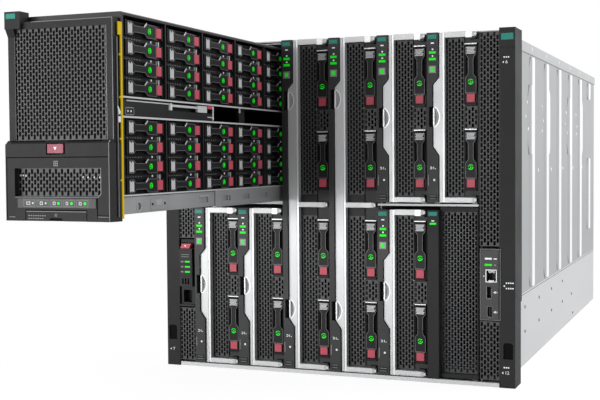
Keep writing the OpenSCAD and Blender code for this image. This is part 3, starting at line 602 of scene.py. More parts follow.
columnEdges = dict(inner=197.3, outer=221.7, front=-453.1, sheet=1.2, fold=22.6)
blanks = [(1, 174.6, 438.2), (1, 8.6, 81.4), (-1, 176.6, 438.2), (-1, 8.2, 80.2)]
parts = []
for side, z0, z1 in blanks:
    x0, x1 = sorted((side * columnEdges["inner"], side * columnEdges["outer"]))
    back = columnEdges["front"] + columnEdges["sheet"]
    pitch, hole = ((3.9, 7.05), (3.0, 6.2)) if side > 0 else ((3.7, 6.6), (2.8, 5.8))
    parts.append(perforatedSheet("blank", x0, x1, z0, z1, back - 0.6, 0.6, pitch, hole))
    folds = bmesh.new()
    for x in (x0, x1 - 1.2):
        slab(folds, (x, back, z0), (x + 1.2, back + columnEdges["fold"], z1))
    mesh = bpy.data.meshes.new("folds")
    folds.to_mesh(mesh)
    folds.free()
    mesh.materials.append(finish["grille"])
    piece = bpy.data.objects.new("folds", mesh)
    bpy.context.scene.collection.objects.link(piece)
    parts.append(piece)
mounted(joinPieces("columnBlanks", parts), "chassis", "grille_black", "column_grilles")

lo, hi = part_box("drawer_grille")
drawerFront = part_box("drawer_bezel")[0].y / mm
drawerFront += 0.8
upper = perforatedSheet("upper", -189, -78.5, 304.4, 418, drawerFront + 8.0, 0.6, (3.57, 6.6), (2.8, 6.0), 0.6)
lower = perforatedSheet("lower", -185.5, -84.5, 248, 276.6, drawerFront + 7.2, 0.6, (3.57, 6.6), (2.8, 6.0), 0.6)
# painted shade behind the drawer's perforated sheets
plain = bmesh.new()
slab(plain, (-188.8, drawerFront + 8.1, 304.6), (-78.7, drawerFront + 8.6, 417.8))
slab(plain, (-185.3, drawerFront + 7.3, 248.2), (-84.7, drawerFront + 7.7, 276.4))
mounted(joinPieces("drawerGrilles", [upper, lower, meshPiece("plain", plain, "gapBlack")]), "drawer",
        "grille_black", "drawer_grille")
print("stage: perforated sheets made")


strip = dict(tab=(2.0, 7.8, 13.2, 2.6), led=(3.6, 12.4, 3.0), ledTops=(23.2, 31.4), power=(3.4, 41.1, 12.6, 50.3),
             powerRim=1.1, scoop=107.0, marks=43.4, dot=28.4, pull=(2.6, 3.2, 13.2, 10.0))


def frameShape(bm, x0, y0, x1, y1, rim, z0, z1, material=0):
    slab(bm, (x0, y0, z0), (x1, y0 + rim, z1), material)
    slab(bm, (x0, y1 - rim, z0), (x1, y1, z1), material)
    slab(bm, (x0, y0 + rim, z0), (x0 + rim, y1 - rim, z1), material)
    slab(bm, (x1 - rim, y0 + rim, z0), (x1, y1 - rim, z1), material)


def stripMarkings(name, x0, z0, height, front, body, buttonBody):
    # Finishes: 0 tab, 1 white mark, 2 green light, 3 grey, 4 dark plastic
    top = height
    bm = bmesh.new()
    tab = strip["tab"]
    slab(bm, (tab[0], top - tab[1], -0.2), (tab[2], top - tab[3], 0.35), 0, 0.15)
    slab(bm, (6.0, top - 13.8, -0.1), (10.0, top - 12.2, 0.15), 1)
    for ledTop in strip["ledTops"]:
        left, right, tall = strip["led"]
        slab(bm, (left, top - ledTop - tall, -0.2), (right, top - ledTop, 0.4), 2, 0.15)
    for dotAt in (20.8, 29.0):
        prism(bm, circleOutline((8.2, top - dotAt), 1.15, 10), -0.1, 0.15, 1)
    power = strip["power"]
    frameShape(bm, power[0], top - power[3], power[2], top - power[1], strip["powerRim"], -0.2, 0.9, 3)
    prism(bm, arcOutline((5.8, strip["marks"]), 1.0, 1.7, -140, 140, 8), 0, 0.15, 1)
    slab(bm, (9.0, strip["marks"] - 1.6, -0.1), (9.7, strip["marks"] + 1.6, 0.15), 1)
    prism(bm, circleOutline((11.6, strip["marks"] - 1.2), 0.6, 8), -0.1, 0.15, 1)
    prism(bm, circleOutline((9.9, strip["dot"]), 1.35, 12), -0.1, 0.15, 1)
    slab(bm, (2.0, strip["dot"] - 7, -0.1), (2.9, strip["dot"] + 6, 0.25), 3)
    pull = strip["pull"]
    slab(bm, (pull[0], pull[1], -0.2), (pull[2], pull[3], 0.5), 4, 0.2)
    for y in (pull[1] + 1.4, pull[3] - 2.0):
        slab(bm, (pull[0] + 1.2, y, 0.4), (pull[2] - 1.2, y + 0.6, 0.62), 3)
    makePiece(name + "Markings", bm, ["teal", "ledWhite", "ledGreen", "markGrey", "charcoal"], body,
              onFace(facingFront, x0, front, z0))
    if buttonBody:
        bm = bmesh.new()
        slab(bm, (5.7, top - 48.0, 0.75), (10.3, top - 43.4, 1.1), 0, 0.15)
        makePiece(name + "PowerLight", bm, ["ledGreen"], buttonBody,
                  onFace(facingFront, x0, front, z0))


# Handle trim: tip and arm covers, and painted highlights on the top tips, dish rim, lip and bar stripe
handleTrim = dict(tip=(49.0, 57.2), arm=(22.5, 49.0), armHeight=6.2, armInset=0.2, dishCentre=0.4,
                  dishRimHighlight=(15.2, 16.5), stripeHighlight=(20.3, 22.1), lipHighlight=(7.9, 9.4), lipReach=11.5, halfScoops=(107.0,),
                  fullScoops=(353.3, 79.0), edge=0.5)
for number in bladeNumbers:
    lo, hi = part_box(f"blade_{number}_sled")
    x0, z0, height = lo.x - 0.6 * mm, lo.z, (hi.z - lo.z) / mm
    stripMarkings(f"blade{number}", x0, z0, height, lo.y, f"blade_{number}", f"button_{number}")
    handleLo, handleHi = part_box(f"blade_{number}_handle")
    bm = bmesh.new()
    a = handleTrim
    bottoms = [a["armInset"]]
    tops = [height - a["armInset"] - a["armHeight"]]
    if height > 300:
        bottoms.append(213.8)
    for bottom in bottoms:
        slab(bm, (a["tip"][0], bottom - 0.15, -1.0), (a["tip"][1], bottom + a["armHeight"] + 0.15, 0.3), 2, 0.3)
        slab(bm, (26.0, bottom + 0.7, -0.3), (a["tip"][0] - 1.2, bottom + 1.3, 0.12), 1)
    for low in tops:
        slab(bm, (a["arm"][0], low - 0.4, -0.8), (a["arm"][1], low + a["armHeight"] + 0.5, 0.25), 2, 0.25)
        # painted highlight: the top hook tips drawn bright
        slab(bm, (a["tip"][0], low - 1.3, -1.0), (a["tip"][1], low + a["armHeight"] + 0.5, 0.5), 0, 0.3)
    for middle in (a["fullScoops"] if height > 300 else a["halfScoops"]):
        # painted highlights: a bright crescent on the finger dish rim and a bright lip beside it
        centre = (a["dishCentre"], middle)
        prism(bm, arcOutline(centre, *a["dishRimHighlight"], -52, 52, 18), -0.2, 0.15, 0)
        slab(bm, (a["lipHighlight"][0], middle - a["lipReach"], -0.4), (a["lipHighlight"][1], middle + a["lipReach"], 0.4), 0, 0.2)
    # painted highlight: a bright stripe down the right side of the bar
    slab(bm, (a["stripeHighlight"][0], 0.6, -0.2), (a["stripeHighlight"][1], height - 0.6, 0.1), 0)
    makePiece(f"handle{number}Trim", bm, ["tipSilver", "railSteel", "handleSilver"], f"handle_{number}",
              onFace(facingFront, x0, handleLo.y, z0))
print("stage: blades marked")


def numeral(name, text, height, x, z, front, body):
    curve = bpy.data.curves.new(name, "FONT")
    curve.body = text
    curve.size = height * 1.35 * mm
    curve.extrude = 0.06 * mm
    curve.align_x = "CENTER"
    source = bpy.data.objects.new(name + "Source", curve)
    bpy.context.scene.collection.objects.link(source)
    bpy.context.view_layer.update()
    mesh = bpy.data.meshes.new_from_object(source.evaluated_get(bpy.context.evaluated_depsgraph_get()))
    bpy.data.objects.remove(source)
    mesh.materials.clear()
    mesh.materials.append(finish["ledWhite"])
    mesh.transform(onFace(facingFront, x * mm, front, z * mm))
    piece = bpy.data.objects.new(name, mesh)
    bpy.context.scene.collection.objects.link(piece)
    return mounted(piece, body, "charcoal_plastic")


earLo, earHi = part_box("ear_covers")
caseFront = earLo.y + 0.8 * mm
numeral("earNumeralUpperRight", "6", 4.2, 230.6, 398.3, caseFront, "chassis")
numeral("earNumeralLowerRight", "12", 4.2, 231.2, 17.0, caseFront, "chassis")
numeral("earNumeralLowerLeft", "7", 4.2, -231.5, 20.5, caseFront, "chassis")
bm = bmesh.new()
for side in (1, -1):
    x0, x1 = sorted((side * 224.2, side * 239.2))
    slab(bm, (x0, 427.0, 0.7), (x1, 435.0, 1.15), 0, 0.2)
opening = [(226.8, 35.8), (238.4, 35.8), (238.4, 53.5), (236.5, 55.4), (228.7, 55.4), (226.8, 53.5)]
# openings in the ears filled with painted shade
for side in (1, -1):
    prism(bm, [(side * x, z) for x, z in opening], -1.9, -1.6, 2)
for x, z in ((226.4, 399.9), (225.6, 18.8), (227.7, 126.1), (-236.4, 22.2)):
    prism(bm, [(x - 1.1, z), (x + 1.0, z - 1.3), (x + 1.0, z + 1.3)], 0, 0.15, 1)
for z, first, count in ((405.2, 227.0, 3), (129.0, 229.8, 4), (122.4, 229.8, 4), (24.6, 227.0, 3)):
    for i in range(count):
        x = first + i * 2.6
        slab(bm, (x, z, 0), (x + 1.7, z + 1.6, 0.12), 1)
makePiece("earMarkings", bm, ["teal", "ledWhite", "gapBlack"], "chassis",
          onFace(facingFront, 0, caseFront, 0))


consoleLo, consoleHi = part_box("console_panel")
bm = bmesh.new()
slab(bm, (203.9, 158.2, 0), (212.4, 160.4, 0.2), 1)
slab(bm, (214.8, 158.5, 0), (218.8, 159.9, 0.15), 1)
slab(bm, (203.8, 150.4, 0), (212.7, 152.9, 0.35), 0, 0.15)
prism(bm, circleOutline((216.5, 151.6), 1.1, 10), 0, 0.35, 4)
frameShape(bm, 204.8, 130.1, 218.8, 146.0, 1.1, -0.6, 0.8, 2)
slab(bm, (208.4, 130.8, -6.0), (215.2, 132.6, 0.3), 2)
slab(bm, (202.2, 136.8, 0), (203.2, 138.4, 0.15), 1)
for x0, z0, x1, z1 in ((205.5, 109.7, 206.2, 125.3), (205.5, 109.4, 212.0, 110.2), (211.8, 112.0, 212.3, 122.0)):
    slab(bm, (x0, z0, -0.6), (x1, z1, 0.4), 4)
frameShape(bm, 206.6, 86.8, 213.3, 100.5, 0.5, -0.6, 0.5, 5)
slab(bm, (208.4, 86.7, -0.6), (211.6, 87.5, 0.55), 4)
# painted highlight around the console's outer edge
frameShape(bm, 198.0, 83.2, 223.4, 171.4, 0.6, 0.35, 0.5, 5)
slab(bm, (209.0, 88.6, -7.0), (210.6, 98.8, -0.8), 3)
for i in range(8):
    slab(bm, (208.0 + i * 1.0, 141.6, -9.0), (208.5 + i * 1.0, 144.6, -2.0), 2)
for z in (117.8, 93.3):
    prism(bm, [(214.4, z), (216.2, z - 1.3), (216.2, z + 1.3)], 0, 0.15, 1)
    slab(bm, (216.6, z - 1.3, 0), (217.6, z + 1.3, 0.15), 1)
    prism(bm, arcOutline((218.4, z), 0.5, 1.0, -90, 90, 6), 0, 0.15, 1)
makePiece("consoleDetails", bm, ["ledGreen", "ledWhite", "portMetal", "black", "markGrey", "carrierEdge"], "chassis",
          onFace(facingFront, 0, consoleLo.y, 0))


applianceLo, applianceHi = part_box("appliance_module")
bm = bmesh.new()
slab(bm, (-219.2, 124.0, 0.0), (-201.4, 159.4, 0.35), 1, 0.15)
for z in (153.4, 150.4):
    slab(bm, (-217.0, z, 0.3), (-205.0, z + 0.7, 0.45), 3)
for z in (144.0, 137.0, 130.0):
    slab(bm, (-217.6, z - 0.9, 0.3), (-213.8, z + 0.9, 0.5), 3)
    slab(bm, (-211.4, z - 1.1, 0.3), (-203.8, z + 1.1, 0.65), 0, 0.12)
makePiece("applianceDetails", bm, ["ledGreen", "black", "charcoal", "markGrey"], "appliance",
          onFace(facingFront, 0, applianceLo.y, 0))
latchLo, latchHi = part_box("appliance_latch")
bm = bmesh.new()
prism(bm, [(-212.0, 166.8), (-209.2, 166.8), (-210.6, 164.4)], 0, 0.15)
makePiece("latchMark", bm, ["ledWhite"], "appliance_release", onFace(facingFront, 0, latchLo.y, 0))


moduleLo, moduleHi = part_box("bay_12_module")
x0, z0 = moduleLo.x / mm - 0.4, moduleLo.z / mm + 0.3
front, face = moduleLo.y / mm, moduleLo.y / mm + 13
rearEnd = moduleHi.y / mm
shell = bmesh.new()
slab(shell, (x0 + 1.2, face + 3, z0 + 1.5), (x0 + 2.7, rearEnd, z0 + 210), 1)
slab(shell, (x0 + 62.8, face + 3, z0 + 1.5), (x0 + 64.3, rearEnd, z0 + 210), 1)
slab(shell, (x0 + 2.7, face + 3, z0 + 1.5), (x0 + 62.8, rearEnd, z0 + 3), 1)
slab(shell, (x0 + 2.7, face + 3, z0 + 208.5), (x0 + 62.8, rearEnd, z0 + 210), 1)
slab(shell, (x0 + 2.7, rearEnd - 1.5, z0 + 3), (x0 + 62.8, rearEnd, z0 + 208.5), 1)
slab(shell, (x0 + 0.4, front, z0 - 0.3), (x0 + 15.6, face + 3, z0 + 211.6), 0, 0.6)
upright = [(15.6, 0, 64.3, 6), (15.6, 209.6, 64.3, 215.6), (62.0, 6, 64.3, 209.6)]
for a, b, c, d in upright:
    slab(shell, (x0 + a, face - 6, z0 + b), (x0 + c, face + 3, z0 + d), 0, 0.5)
moduleMesh = bpy.data.meshes.new("moduleShell")
bmesh.ops.recalc_face_normals(shell, faces=shell.faces)
shell.to_mesh(moduleMesh)
shell.free()
moduleMesh.materials.append(finish["charcoal"])
moduleMesh.materials.append(finish["sled"])
shellPiece = bpy.data.objects.new("moduleShell", moduleMesh)
bpy.context.scene.collection.objects.link(shellPiece)
sheet = perforatedSheet("moduleSheet", x0 + 15.7, x0 + 62.0, z0 + 6, z0 + 209.6, face + 1.2)
mounted(joinPieces("perforatedModule", [shellPiece, sheet]), "module_12", "blade_black", "bay_12_module")
bm = bmesh.new()
slab(bm, (2.2, 204.4, -0.2), (13.4, 209.4, 0.35), 0, 0.15)
slab(bm, (6.2, 197.4, -0.1), (9.8, 198.8, 0.15), 1)
slab(bm, (3.8, 193.2, -0.2), (12.4, 195.8, 0.4), 2, 0.15)
makePiece("moduleMarkings", bm, ["teal", "ledWhite", "ledGreen"], "module_12",
          onFace(facingFront, x0 * mm, moduleLo.y, z0 * mm))
print("stage: columns finished")


bezelLo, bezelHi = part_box("drawer_bezel")
bezelFront, bezelBack = bezelLo.y + 0.8 * mm, bezelHi.y
bodyLo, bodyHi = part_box("drawer_body")
bezelShell = bmesh.new()
bezelShell.from_mesh(nodes["drawer_bezel"].data)
bmesh.ops.remove_doubles(bezelShell, verts=bezelShell.verts, dist=1e-6)
for vertex in bezelShell.verts:
    if abs(vertex.co.x + 0.1675) < 0.0002 and vertex.co.z > 0.4168:
        vertex.co.x = -0.17805
mounted(meshPiece("drawerBezelShell", bezelShell, "charcoal"), "drawer", "charcoal_plastic", "drawer_bezel")
bezelTrim = dict(left=-196.5, edge=-74.2, upperEdge=-72.7, groove=287.3, window=(-187, 304.4, -80.5, 416.4),
                 upper=-6.5, low=(-185.5, 248, -84.5, 276.6), bar=(-181.8, 236.8, -89.6, 246.2))
bm = bmesh.new()                 # finishes: teal, green, grey highlight and outline, black gap shade, panel, white, grey
t = bezelTrim
slab(bm, (-194.5, 427.4, -2.1), (-182.9, 432.6, -1.6), 0, 0.15)
# painted shade in the groove across the bezel and in the pockets under the upper window
slab(bm, (t["left"] + 0.1, t["groove"] - 0.55, -0.7), (t["edge"] - 1.2, t["groove"] + 0.55, 0.03), 3)
for x0, x1 in ((-190.9, -150.8), (-123.7, -83.9)):
    slab(bm, (x0, 302.6, -4.2), (x1, 304.3, -1.85), 3)
x0, z0, x1, z1 = t["bar"]
slab(bm, (x0, z0, -0.1), (x1, z1, 0.84), 4)
for left in (-174.6, -158.6, -143.0, -127.4, -112.0):
    frameShape(bm, left, 238.0, left + 13.6, 244.8, 0.35, 0.8, 0.9, 2)
for x in (-132.8, -117.5, -101.9):
    prism(bm, circleOutline((x, 241.4), 1.5, 14), 0.8, 1.05, 1)
for x0, x1 in ((-171.0, -166.6), (-155.0, -151.4), (-139.6, -136.4), (-124.4, -121.6), (-109.0, -106.0)):
    frameShape(bm, x0, 239.8, x1, 243.0, 0.7, 0.8, 0.98, 5)
for x in (-164.4, -149.0):
    slab(bm, (x, 240.6, 0.8), (x + 1.8, 242.4, 0.98), 5)
frameShape(bm, -138.6, 278.4, -133.6, 283.8, 0.8, 0, 0.2, 6)
slab(bm, (-136.5, 278.6, 0), (-135.7, 283.6, 0.2), 6)
slab(bm, (-138.4, 280.7, 0), (-133.8, 281.5, 0.2), 6)
# painted highlights along the bezel's right and top edges, its step, and the right and lower edges of both windows
slab(bm, (t["edge"] - 0.7, 224.0, -0.1), (t["edge"], 300.8, 0.12), 2)
prism(bm, [(t["edge"] - 1.0, 300.6), (t["edge"], 300.6), (t["upperEdge"], 303.2), (t["upperEdge"] - 0.8, 303.8)],
      -0.9, -0.1, 2)
slab(bm, (t["upperEdge"] - 0.7, 304.6, t["upper"] - 0.1), (t["upperEdge"], 423.8, t["upper"] + 0.15), 2)
slab(bm, (-167.4, 423.2, t["upper"] - 0.1), (t["upperEdge"] - 0.7, 423.9, t["upper"] + 0.15), 2)
x0, z0, x1, z1 = t["window"]
slab(bm, (x1 + 0.1, z0, t["upper"] - 0.2), (x1 + 0.8, z1, t["upper"] + 0.12), 2)
slab(bm, (x0 - 0.8, z0, t["upper"] - 0.2), (x0 - 0.1, z1, t["upper"] + 0.1), 4)
x0, z0, x1, z1 = t["low"]
slab(bm, (x1 + 0.1, z0 + 3, -0.1), (x1 + 0.8, z1, 0.12), 2)
prism(bm, [(x1 - 3.6, z0 - 0.4), (x1 - 3.0, z0 - 0.9), (x1 + 0.8, z0 + 2.8), (x1 + 0.1, z0 + 3.2)], -0.1, 0.12, 2)
slab(bm, (x0, z0 - 0.9, -0.1), (x1 - 3.4, z0 - 0.3, 0.1), 2)
# painted shade in the left joint and in the L-shaped groove
slab(bm, (-195.4, 224.2, -0.3), (-194.5, 286.6, 0.04), 3)
slab(bm, (-88.9, 229.2, -0.6), (-87.7, 247.0, 0.04), 3)
slab(bm, (-88.9, 229.0, -0.6), (t["edge"] - 0.8, 229.9, 0.04), 3)
# painted highlight lines below the L-shaped groove and at the lower left
slab(bm, (-87.4, 228.1, -0.1), (t["edge"] - 0.8, 228.7, 0.1), 2)
slab(bm, (-192.5, 227.0, -0.1), (-185.2, 227.6, 0.1), 2)
# painted shadow along the top and sides of the flap
slab(bm, (-173.2, 233.7, -0.4), (-100.2, 234.8, 0.04), 3)
for x in (-173.2, -101.0):
    slab(bm, (x, 223.6, -0.4), (x + 0.8, 234.0, 0.04), 3)
for x, z in ((-183.2, 268.3), (-180.2, 268.4), (-177.0, 267.9), (-109.0, 266.6), (-103.4, 266.2), (-96.2, 266.4),
             (-89.9, 266.3)):
    slab(bm, (x, z, -6.7), (x + 1.3, z + 1.7, -6.3), 5)
makePiece("drawerMarkings", bm, ["teal", "ledGreen", "carrierEdge", "gapBlack", "panelGrey", "labelGrey", "markGrey"],
          "drawer", onFace(facingFront, 0, bezelFront, 0))
buttonLo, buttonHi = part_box("drawer_button")
bm = bmesh.new()
prism(bm, [(-138.0, 297.6), (-134.3, 297.6), (-136.15, 294.4)], 0, 0.2)
makePiece("drawerButtonMark", bm, ["ledWhite"], "drawer_release",
          onFace(facingFront, 0, buttonLo.y, 0))
flapLo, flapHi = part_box("info_tab")
bm = bmesh.new()
slab(bm, (-172.0, 232.9, -0.1), (-101.0, 233.5, 0.12), 0)
# dark notch shape behind the flap face, painted shade
prism(bm, [(-146, 223.6), (-143, 226.6), (-130, 226.6), (-127, 223.6)], -0.8, -0.6, 1)
prism(bm, arcOutline((-136.5, 229.6), 0.8, 1.4, 0, 350, 12), 0, 0.15)
for row, z in enumerate((228.4, 225.6)):
    for i in range(8 - row):
        slab(bm, (-169.4 + i * 2.7, z, 0), (-167.6 + i * 2.7, z + 0.9, 0.12))
makePiece("flapMarkings", bm, ["markGrey", "gapBlack"], "label_flap", onFace(facingFront, 0, flapLo.y, 0))

# Side of the drawer: yellow edge strip, bright shelf edges, adapter trim and rail fittings
front, back = bezelBack / mm, bodyHi.y / mm
side = bmesh.new()
slab(side, (front - 5.4, 407, -1.0), (front + 2.2, 420, 0.25), 0, 0.2)
slab(side, (front - 1.2, 226, -1.0), (front + 2.2, 407, 0.25), 0, 0.2)
for z in (388, 346, 305, 264):
    prism(side, circleOutline((front - 2.2, z), 1.2, 10), -1.0, 0.2, 0)
slab(side, (front - 6.6, 228, -0.9), (front - 5.8, 405, -0.4), 2)
# painted shade in the gap between the bezel and the strip
slab(side, (front - 9.4, 228, -0.9), (front - 8.4, 405, -0.6), 3)
slab(side, (front - 5.8, 321.2, -0.9), (front - 1.6, 327.2, 0.0), 1, 0.2)
prism(side, [(front - 7.0, 337.0), (front - 6.0, 337.0), (front - 1.8, 331.6), (front - 2.2, 329.2),
             (front - 5.6, 329.2)], -0.9, 0.0, 1)
makePiece("drawerEdgeStrip", side, ["yellow", "tipSilver", "markGrey", "gapBlack"], "drawer",
          onFace(facingRight, bodyHi.x, 0, 0))
side = bmesh.new()
for z0, z1 in ((326.1, 328.0), (345.9, 347.6), (247.9, 249.3)):
    slab(side, (front + 0.2, z0, -1.2), (back - 0.2, z1, 0.12), 0)
# thin grey painted highlight along the drawer's top edge
slab(side, (front + 0.2, 429.7, -0.6), (back - 0.2, 430.3, 0.12), 1)
makePiece("drawerShelfEdges", side, ["handleSilver", "markGrey"], "drawer",
          onFace(facingRight, bodyHi.x, 0, 0))
adapterLo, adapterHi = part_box("io_adapter")
a0, a1 = adapterLo.y / mm, adapterHi.y / mm
side = bmesh.new()
icon = [(4.6, 329.2), (18.4, 329.2), (20.2, 330.6), (20.2, 335.6), (18.4, 337.0), (4.6, 337.0), (2.8, 335.6),
        (2.8, 330.6)]
for (ya, za), (yb, zb) in zip(icon, icon[1:] + icon[:1]):
    along = Vector((yb - ya, zb - za)).normalized() * 0.85
    prism(side, [(a0 + ya, za), (a0 + yb, zb), (a0 + yb - along.y, zb + along.x), (a0 + ya - along.y, za + along.x)],
          0, 0.2, 2)
for y in (a0 + 8.0, a0 + 14.0):
    prism(side, circleOutline((y, 333.1), 1.2, 10), 0, 0.2, 1)
slab(side, (a0 + 5, 342.9, 0), (a1 - 106, 344.2, 0.8), 3, 0.2)
slab(side, (-661.2, 341.9, 0), (-649.4, 345.6, 1.4), 0, 0.3)
slab(side, (-649.0, 342.4, 0), (-647.6, 345.2, 1.0), 3)
slab(side, (a1 - 1.4, 329.0, 0), (a1 + 0.4, 345.2, 1.2), 1, 0.2)
slab(side, (a1 - 14, 331.8, 0), (a1 - 1.4, 333.0, 0.8), 3)
makePiece("bayHook", (lambda hook: (slab(hook, (-574.4, 340.4, -3.0), (-572.2, 346.0, -1.6)),
                                    hook)[1])(bmesh.new()), ["tipSilver"], "drawer",
          onFace(facingRight, bodyHi.x, 0, 0))
makePiece("adapterTrim", side, ["releaseRed", "tipSilver", "markGrey", "handleSilver"], "adapter",
          onFace(facingRight, adapterHi.x, 0, 0))
side = bmesh.new()
prism(side, arcOutline((front + 34, 237), 4.0, 5.4, 0, 350, 20), 0, 0.5, 0)
slab(side, (front + 57, 231.8, 0), (front + 91, 244.0, 0.6), 1, 0.3)
for y in (front + 61, front + 87):
    prism(side, circleOutline((y, 238), 1.4, 10), 0.5, 1.1, 2)
slab(side, (front + 68, 236, 0.5), (front + 80, 242.6, 1.3), 0, 0.4)
for y in (front + 168, front + 221):
    slab(side, (y, 241.2, 0), (y + 24, 243.6, 0.9), 0, 0.3)
makePiece("drawerRailFittings", side, ["portMetal", "railSteel", "black"], "drawer",
          onFace(facingRight, -72.2 * mm, 0, 0))
print("stage: drawer finished")


def domeMesh(name, radius, height, steps=8):
    bm = bmesh.new()
    rings = [(radius, 0.0), (radius * 0.8, height * 0.65), (radius * 0.4, height * 0.95)]
    loops = [[bm.verts.new((r * mm * math.cos(2 * math.pi * i / steps), r * mm * math.sin(2 * math.pi * i / steps),
                            h * mm)) for i in range(steps)] for r, h in rings]
    for low, high in zip(loops, loops[1:]):
        for i in range(steps):
            bm.faces.new((low[i], low[(i + 1) % steps], high[(i + 1) % steps], high[i]))
    bm.faces.new(loops[-1])
    bm.faces.new(loops[0][::-1])
    for face in bm.faces:
        face.smooth = True
    mesh = bpy.data.meshes.new(name)
    bm.to_mesh(mesh)
    bm.free()
    return mesh


panelLo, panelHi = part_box("side_panels")
trayLo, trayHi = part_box("base_tray")
wallX = trayHi.x
ribs = dict(first=-364.5, pitch=121.0)
sideMarks = dict(rivet=(2.5, 1.2), bright=(3.0, 1.3), dimple=(3.4, 1.0), notchPitch=121.0, notchFirst=-363.5,
                 coverTop=440.0, seamLight=1.0)
# upper rivet marks beside the rib bulges are drawn in bright silver: painted highlights where the bulges catch light
upper = []
for rib, offsets in ((1, ((-33, 359), (-42, 339), (-22, 323))), (2, ((-33, 358), (-19, 337), (-33, 322))),
                     (4, ((-36, 358), (-48, 338), (-24, 324))), (5, ((-42, 358), (-28, 337), (-35, 324)))):
    upper += [(ribs["first"] + rib * ribs["pitch"] + dy, z) for dy, z in offsets]
low = [(150, 46), (166, 11)]
for i in range(4):
    low += [(-288 + i * 111.5, 79), (-288 + i * 111.5, 45.5)]
low += [(-400 + i * 130, 434) for i in range(7)]
dimples = [(-184.7 + i * 116.1, 265) for i in range(5)]
seam = trayHi.z / mm
for side, turn in ((1, (0, math.pi / 2, 0)), (-1, (0, -math.pi / 2, 0))):
    name = "Right" if side > 0 else "Left"
    sets = [scatter("marks", domeMesh("mark", *sideMarks[size]), [(side * wallX, y * mm, z * mm) for y, z in spots],
                    turn, finishName)
            for spots, size, finishName in ((low, "rivet", "rivetGrey"), (upper, "bright", "tipSilver"),
                                            (dimples, "dimple", "tipSilver"))]
    lines = bmesh.new()
    outside = side * wallX / mm
    x0, x1 = sorted((outside - side * 0.3, outside + side * 0.12))
    # painted shade in the seam between tray and panels
    slab(lines, (x0, trayLo.y / mm + 44, seam - 0.1), (x1, trayHi.y / mm - 0.4, seam + 0.75), 0)
    slab(lines, (x0, trayLo.y / mm + 44, seam + 0.8), (x1, trayHi.y / mm - 0.4, seam + 1.9), 1)
    x0, x1 = sorted((outside + side * 0.6, outside + side * 1.45))
    for i in range(7):
        y = sideMarks["notchFirst"] + i * sideMarks["notchPitch"]
        slab(lines, (x0, y, sideMarks["coverTop"] - 8), (x1, y + 4, sideMarks["coverTop"] - 3), 1)
    sets.append(meshPiece("lines", lines, "gapBlack", "tipSilver"))
    mounted(joinPieces(f"caseRivets{name}", sets), "chassis", "case_steel")
print("stage: rivets set")


stage = dict(size=14.0, colour=(0.93, 0.93, 0.935), clear=0.84)
bm = bmesh.new()
half = stage["size"] / 2
bm.faces.new([bm.verts.new(p) for p in ((-half, -half, 0), (half, -half, 0), (half, half, 0), (-half, half, 0))])
mesh = bpy.data.meshes.new("floor")
bm.to_mesh(mesh)
bm.free()
mesh.transform(Matrix.Translation((0, 0, -0.0004)))
floor = bpy.data.objects.new("floor", mesh)
bpy.context.scene.collection.objects.link(floor)
floorFinish = makeFinish("studioFloor", stage["colour"], 0.75, 0, 0.01, 60, (1, 1, 1), 2, 0.0)
mesh.materials.append(floorFinish)
tree = floorFinish.node_tree
path = addNode(tree, "ShaderNodeLightPath")
clear = mathNode(tree, "MULTIPLY", path.outputs["Is Camera Ray"], stage["clear"])
glow = addNode(tree, "ShaderNodeEmission", {"Color": (1, 1, 1, 1), "Strength": 1.1})
surface = tree.nodes["Principled BSDF"].outputs[0]
addNode(tree, "ShaderNodeMixShader", {0: clear, 1: surface, 2: glow.outputs[0]}, name="floorMix")
tree.links.new(tree.nodes["floorMix"].outputs[0], tree.nodes["Material Output"].inputs["Surface"])

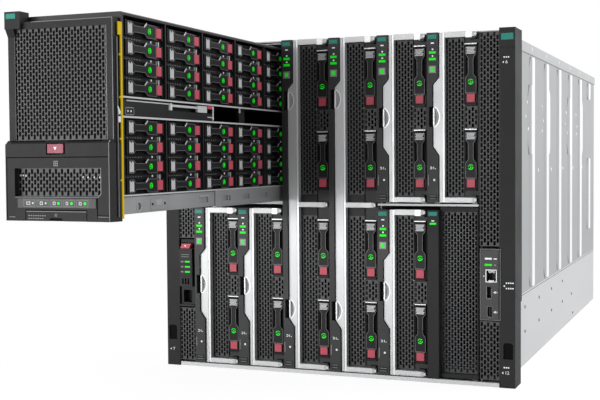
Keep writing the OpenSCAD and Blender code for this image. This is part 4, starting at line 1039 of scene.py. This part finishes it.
world = bpy.data.worlds.new("studio")
bpy.context.scene.world = world
world.use_nodes = True
tree = world.node_tree
tree.nodes.clear()
path = addNode(tree, "ShaderNodeLightPath")
seen = mathNode(tree, "MAXIMUM", path.outputs["Is Camera Ray"],
                mathNode(tree, "MAXIMUM", path.outputs["Is Glossy Ray"], path.outputs["Is Transmission Ray"]))
soft = addNode(tree, "ShaderNodeBackground", {"Color": (0.97, 0.98, 1.0, 1), "Strength": 0.32})
white = addNode(tree, "ShaderNodeBackground", {"Color": (1, 1, 1, 1), "Strength": 1.0})
mix = addNode(tree, "ShaderNodeMixShader", {0: seen, 1: soft.outputs[0], 2: white.outputs[0]})
output = addNode(tree, "ShaderNodeOutputWorld", {"Surface": mix.outputs[0]})

lamps = [dict(name="sideLamp", place=(2.6, 0.6, 1.6), aim=(0, 0.1, 0.2), size=1.8, tall=1.8, power=52),
         dict(name="frontLamp", place=(-1.5, -3.3, 0.3), aim=(0, -0.4, 0.2), size=2.4, tall=0.55, power=58),
         dict(name="topLamp", place=(0.0, 0.2, 2.8), aim=(0, 0, 0.2), size=2.4, tall=2.4, power=14)]
for lamp in lamps:
    light = bpy.data.lights.new(lamp["name"], "AREA")
    light.shape = "RECTANGLE"
    light.size = lamp["size"]
    light.size_y = lamp["tall"]
    light.energy = lamp["power"]
    lightObject = bpy.data.objects.new(lamp["name"], light)
    bpy.context.scene.collection.objects.link(lightObject)
    direction = Vector(lamp["aim"]) - Vector(lamp["place"])
    lightObject.rotation_euler = direction.to_track_quat("-Z", "Y").to_euler()
    lightObject.location = lamp["place"]

view = dict(place=(0.498494, -1.792131, 0.283958), yaw=0.383796, pitch=0.0374867, roll=-0.00737047, lens=65.85)
cameraData = bpy.data.cameras.new("camera")
cameraData.lens = view["lens"]
cameraData.sensor_width = 36
cameraData.clip_start = 0.05
cameraData.clip_end = 60
camera = bpy.data.objects.new("camera", cameraData)
bpy.context.scene.collection.objects.link(camera)
bpy.context.scene.camera = camera
yaw, pitch, roll = view["yaw"], view["pitch"], view["roll"]
ahead = Vector((-math.sin(yaw) * math.cos(pitch), math.cos(yaw) * math.cos(pitch), -math.sin(pitch)))
across = ahead.cross(Vector((0, 0, 1))).normalized()
above = across.cross(ahead)
turnedAcross = across * math.cos(roll) + above * math.sin(roll)
turnedAbove = above * math.cos(roll) - across * math.sin(roll)
axes = Matrix((turnedAcross, turnedAbove, -ahead)).transposed().to_4x4()
camera.matrix_world = Matrix.Translation(view["place"]) @ axes
bpy.context.scene.view_settings.view_transform = "Standard"
print("stage: floor, lights and camera set")
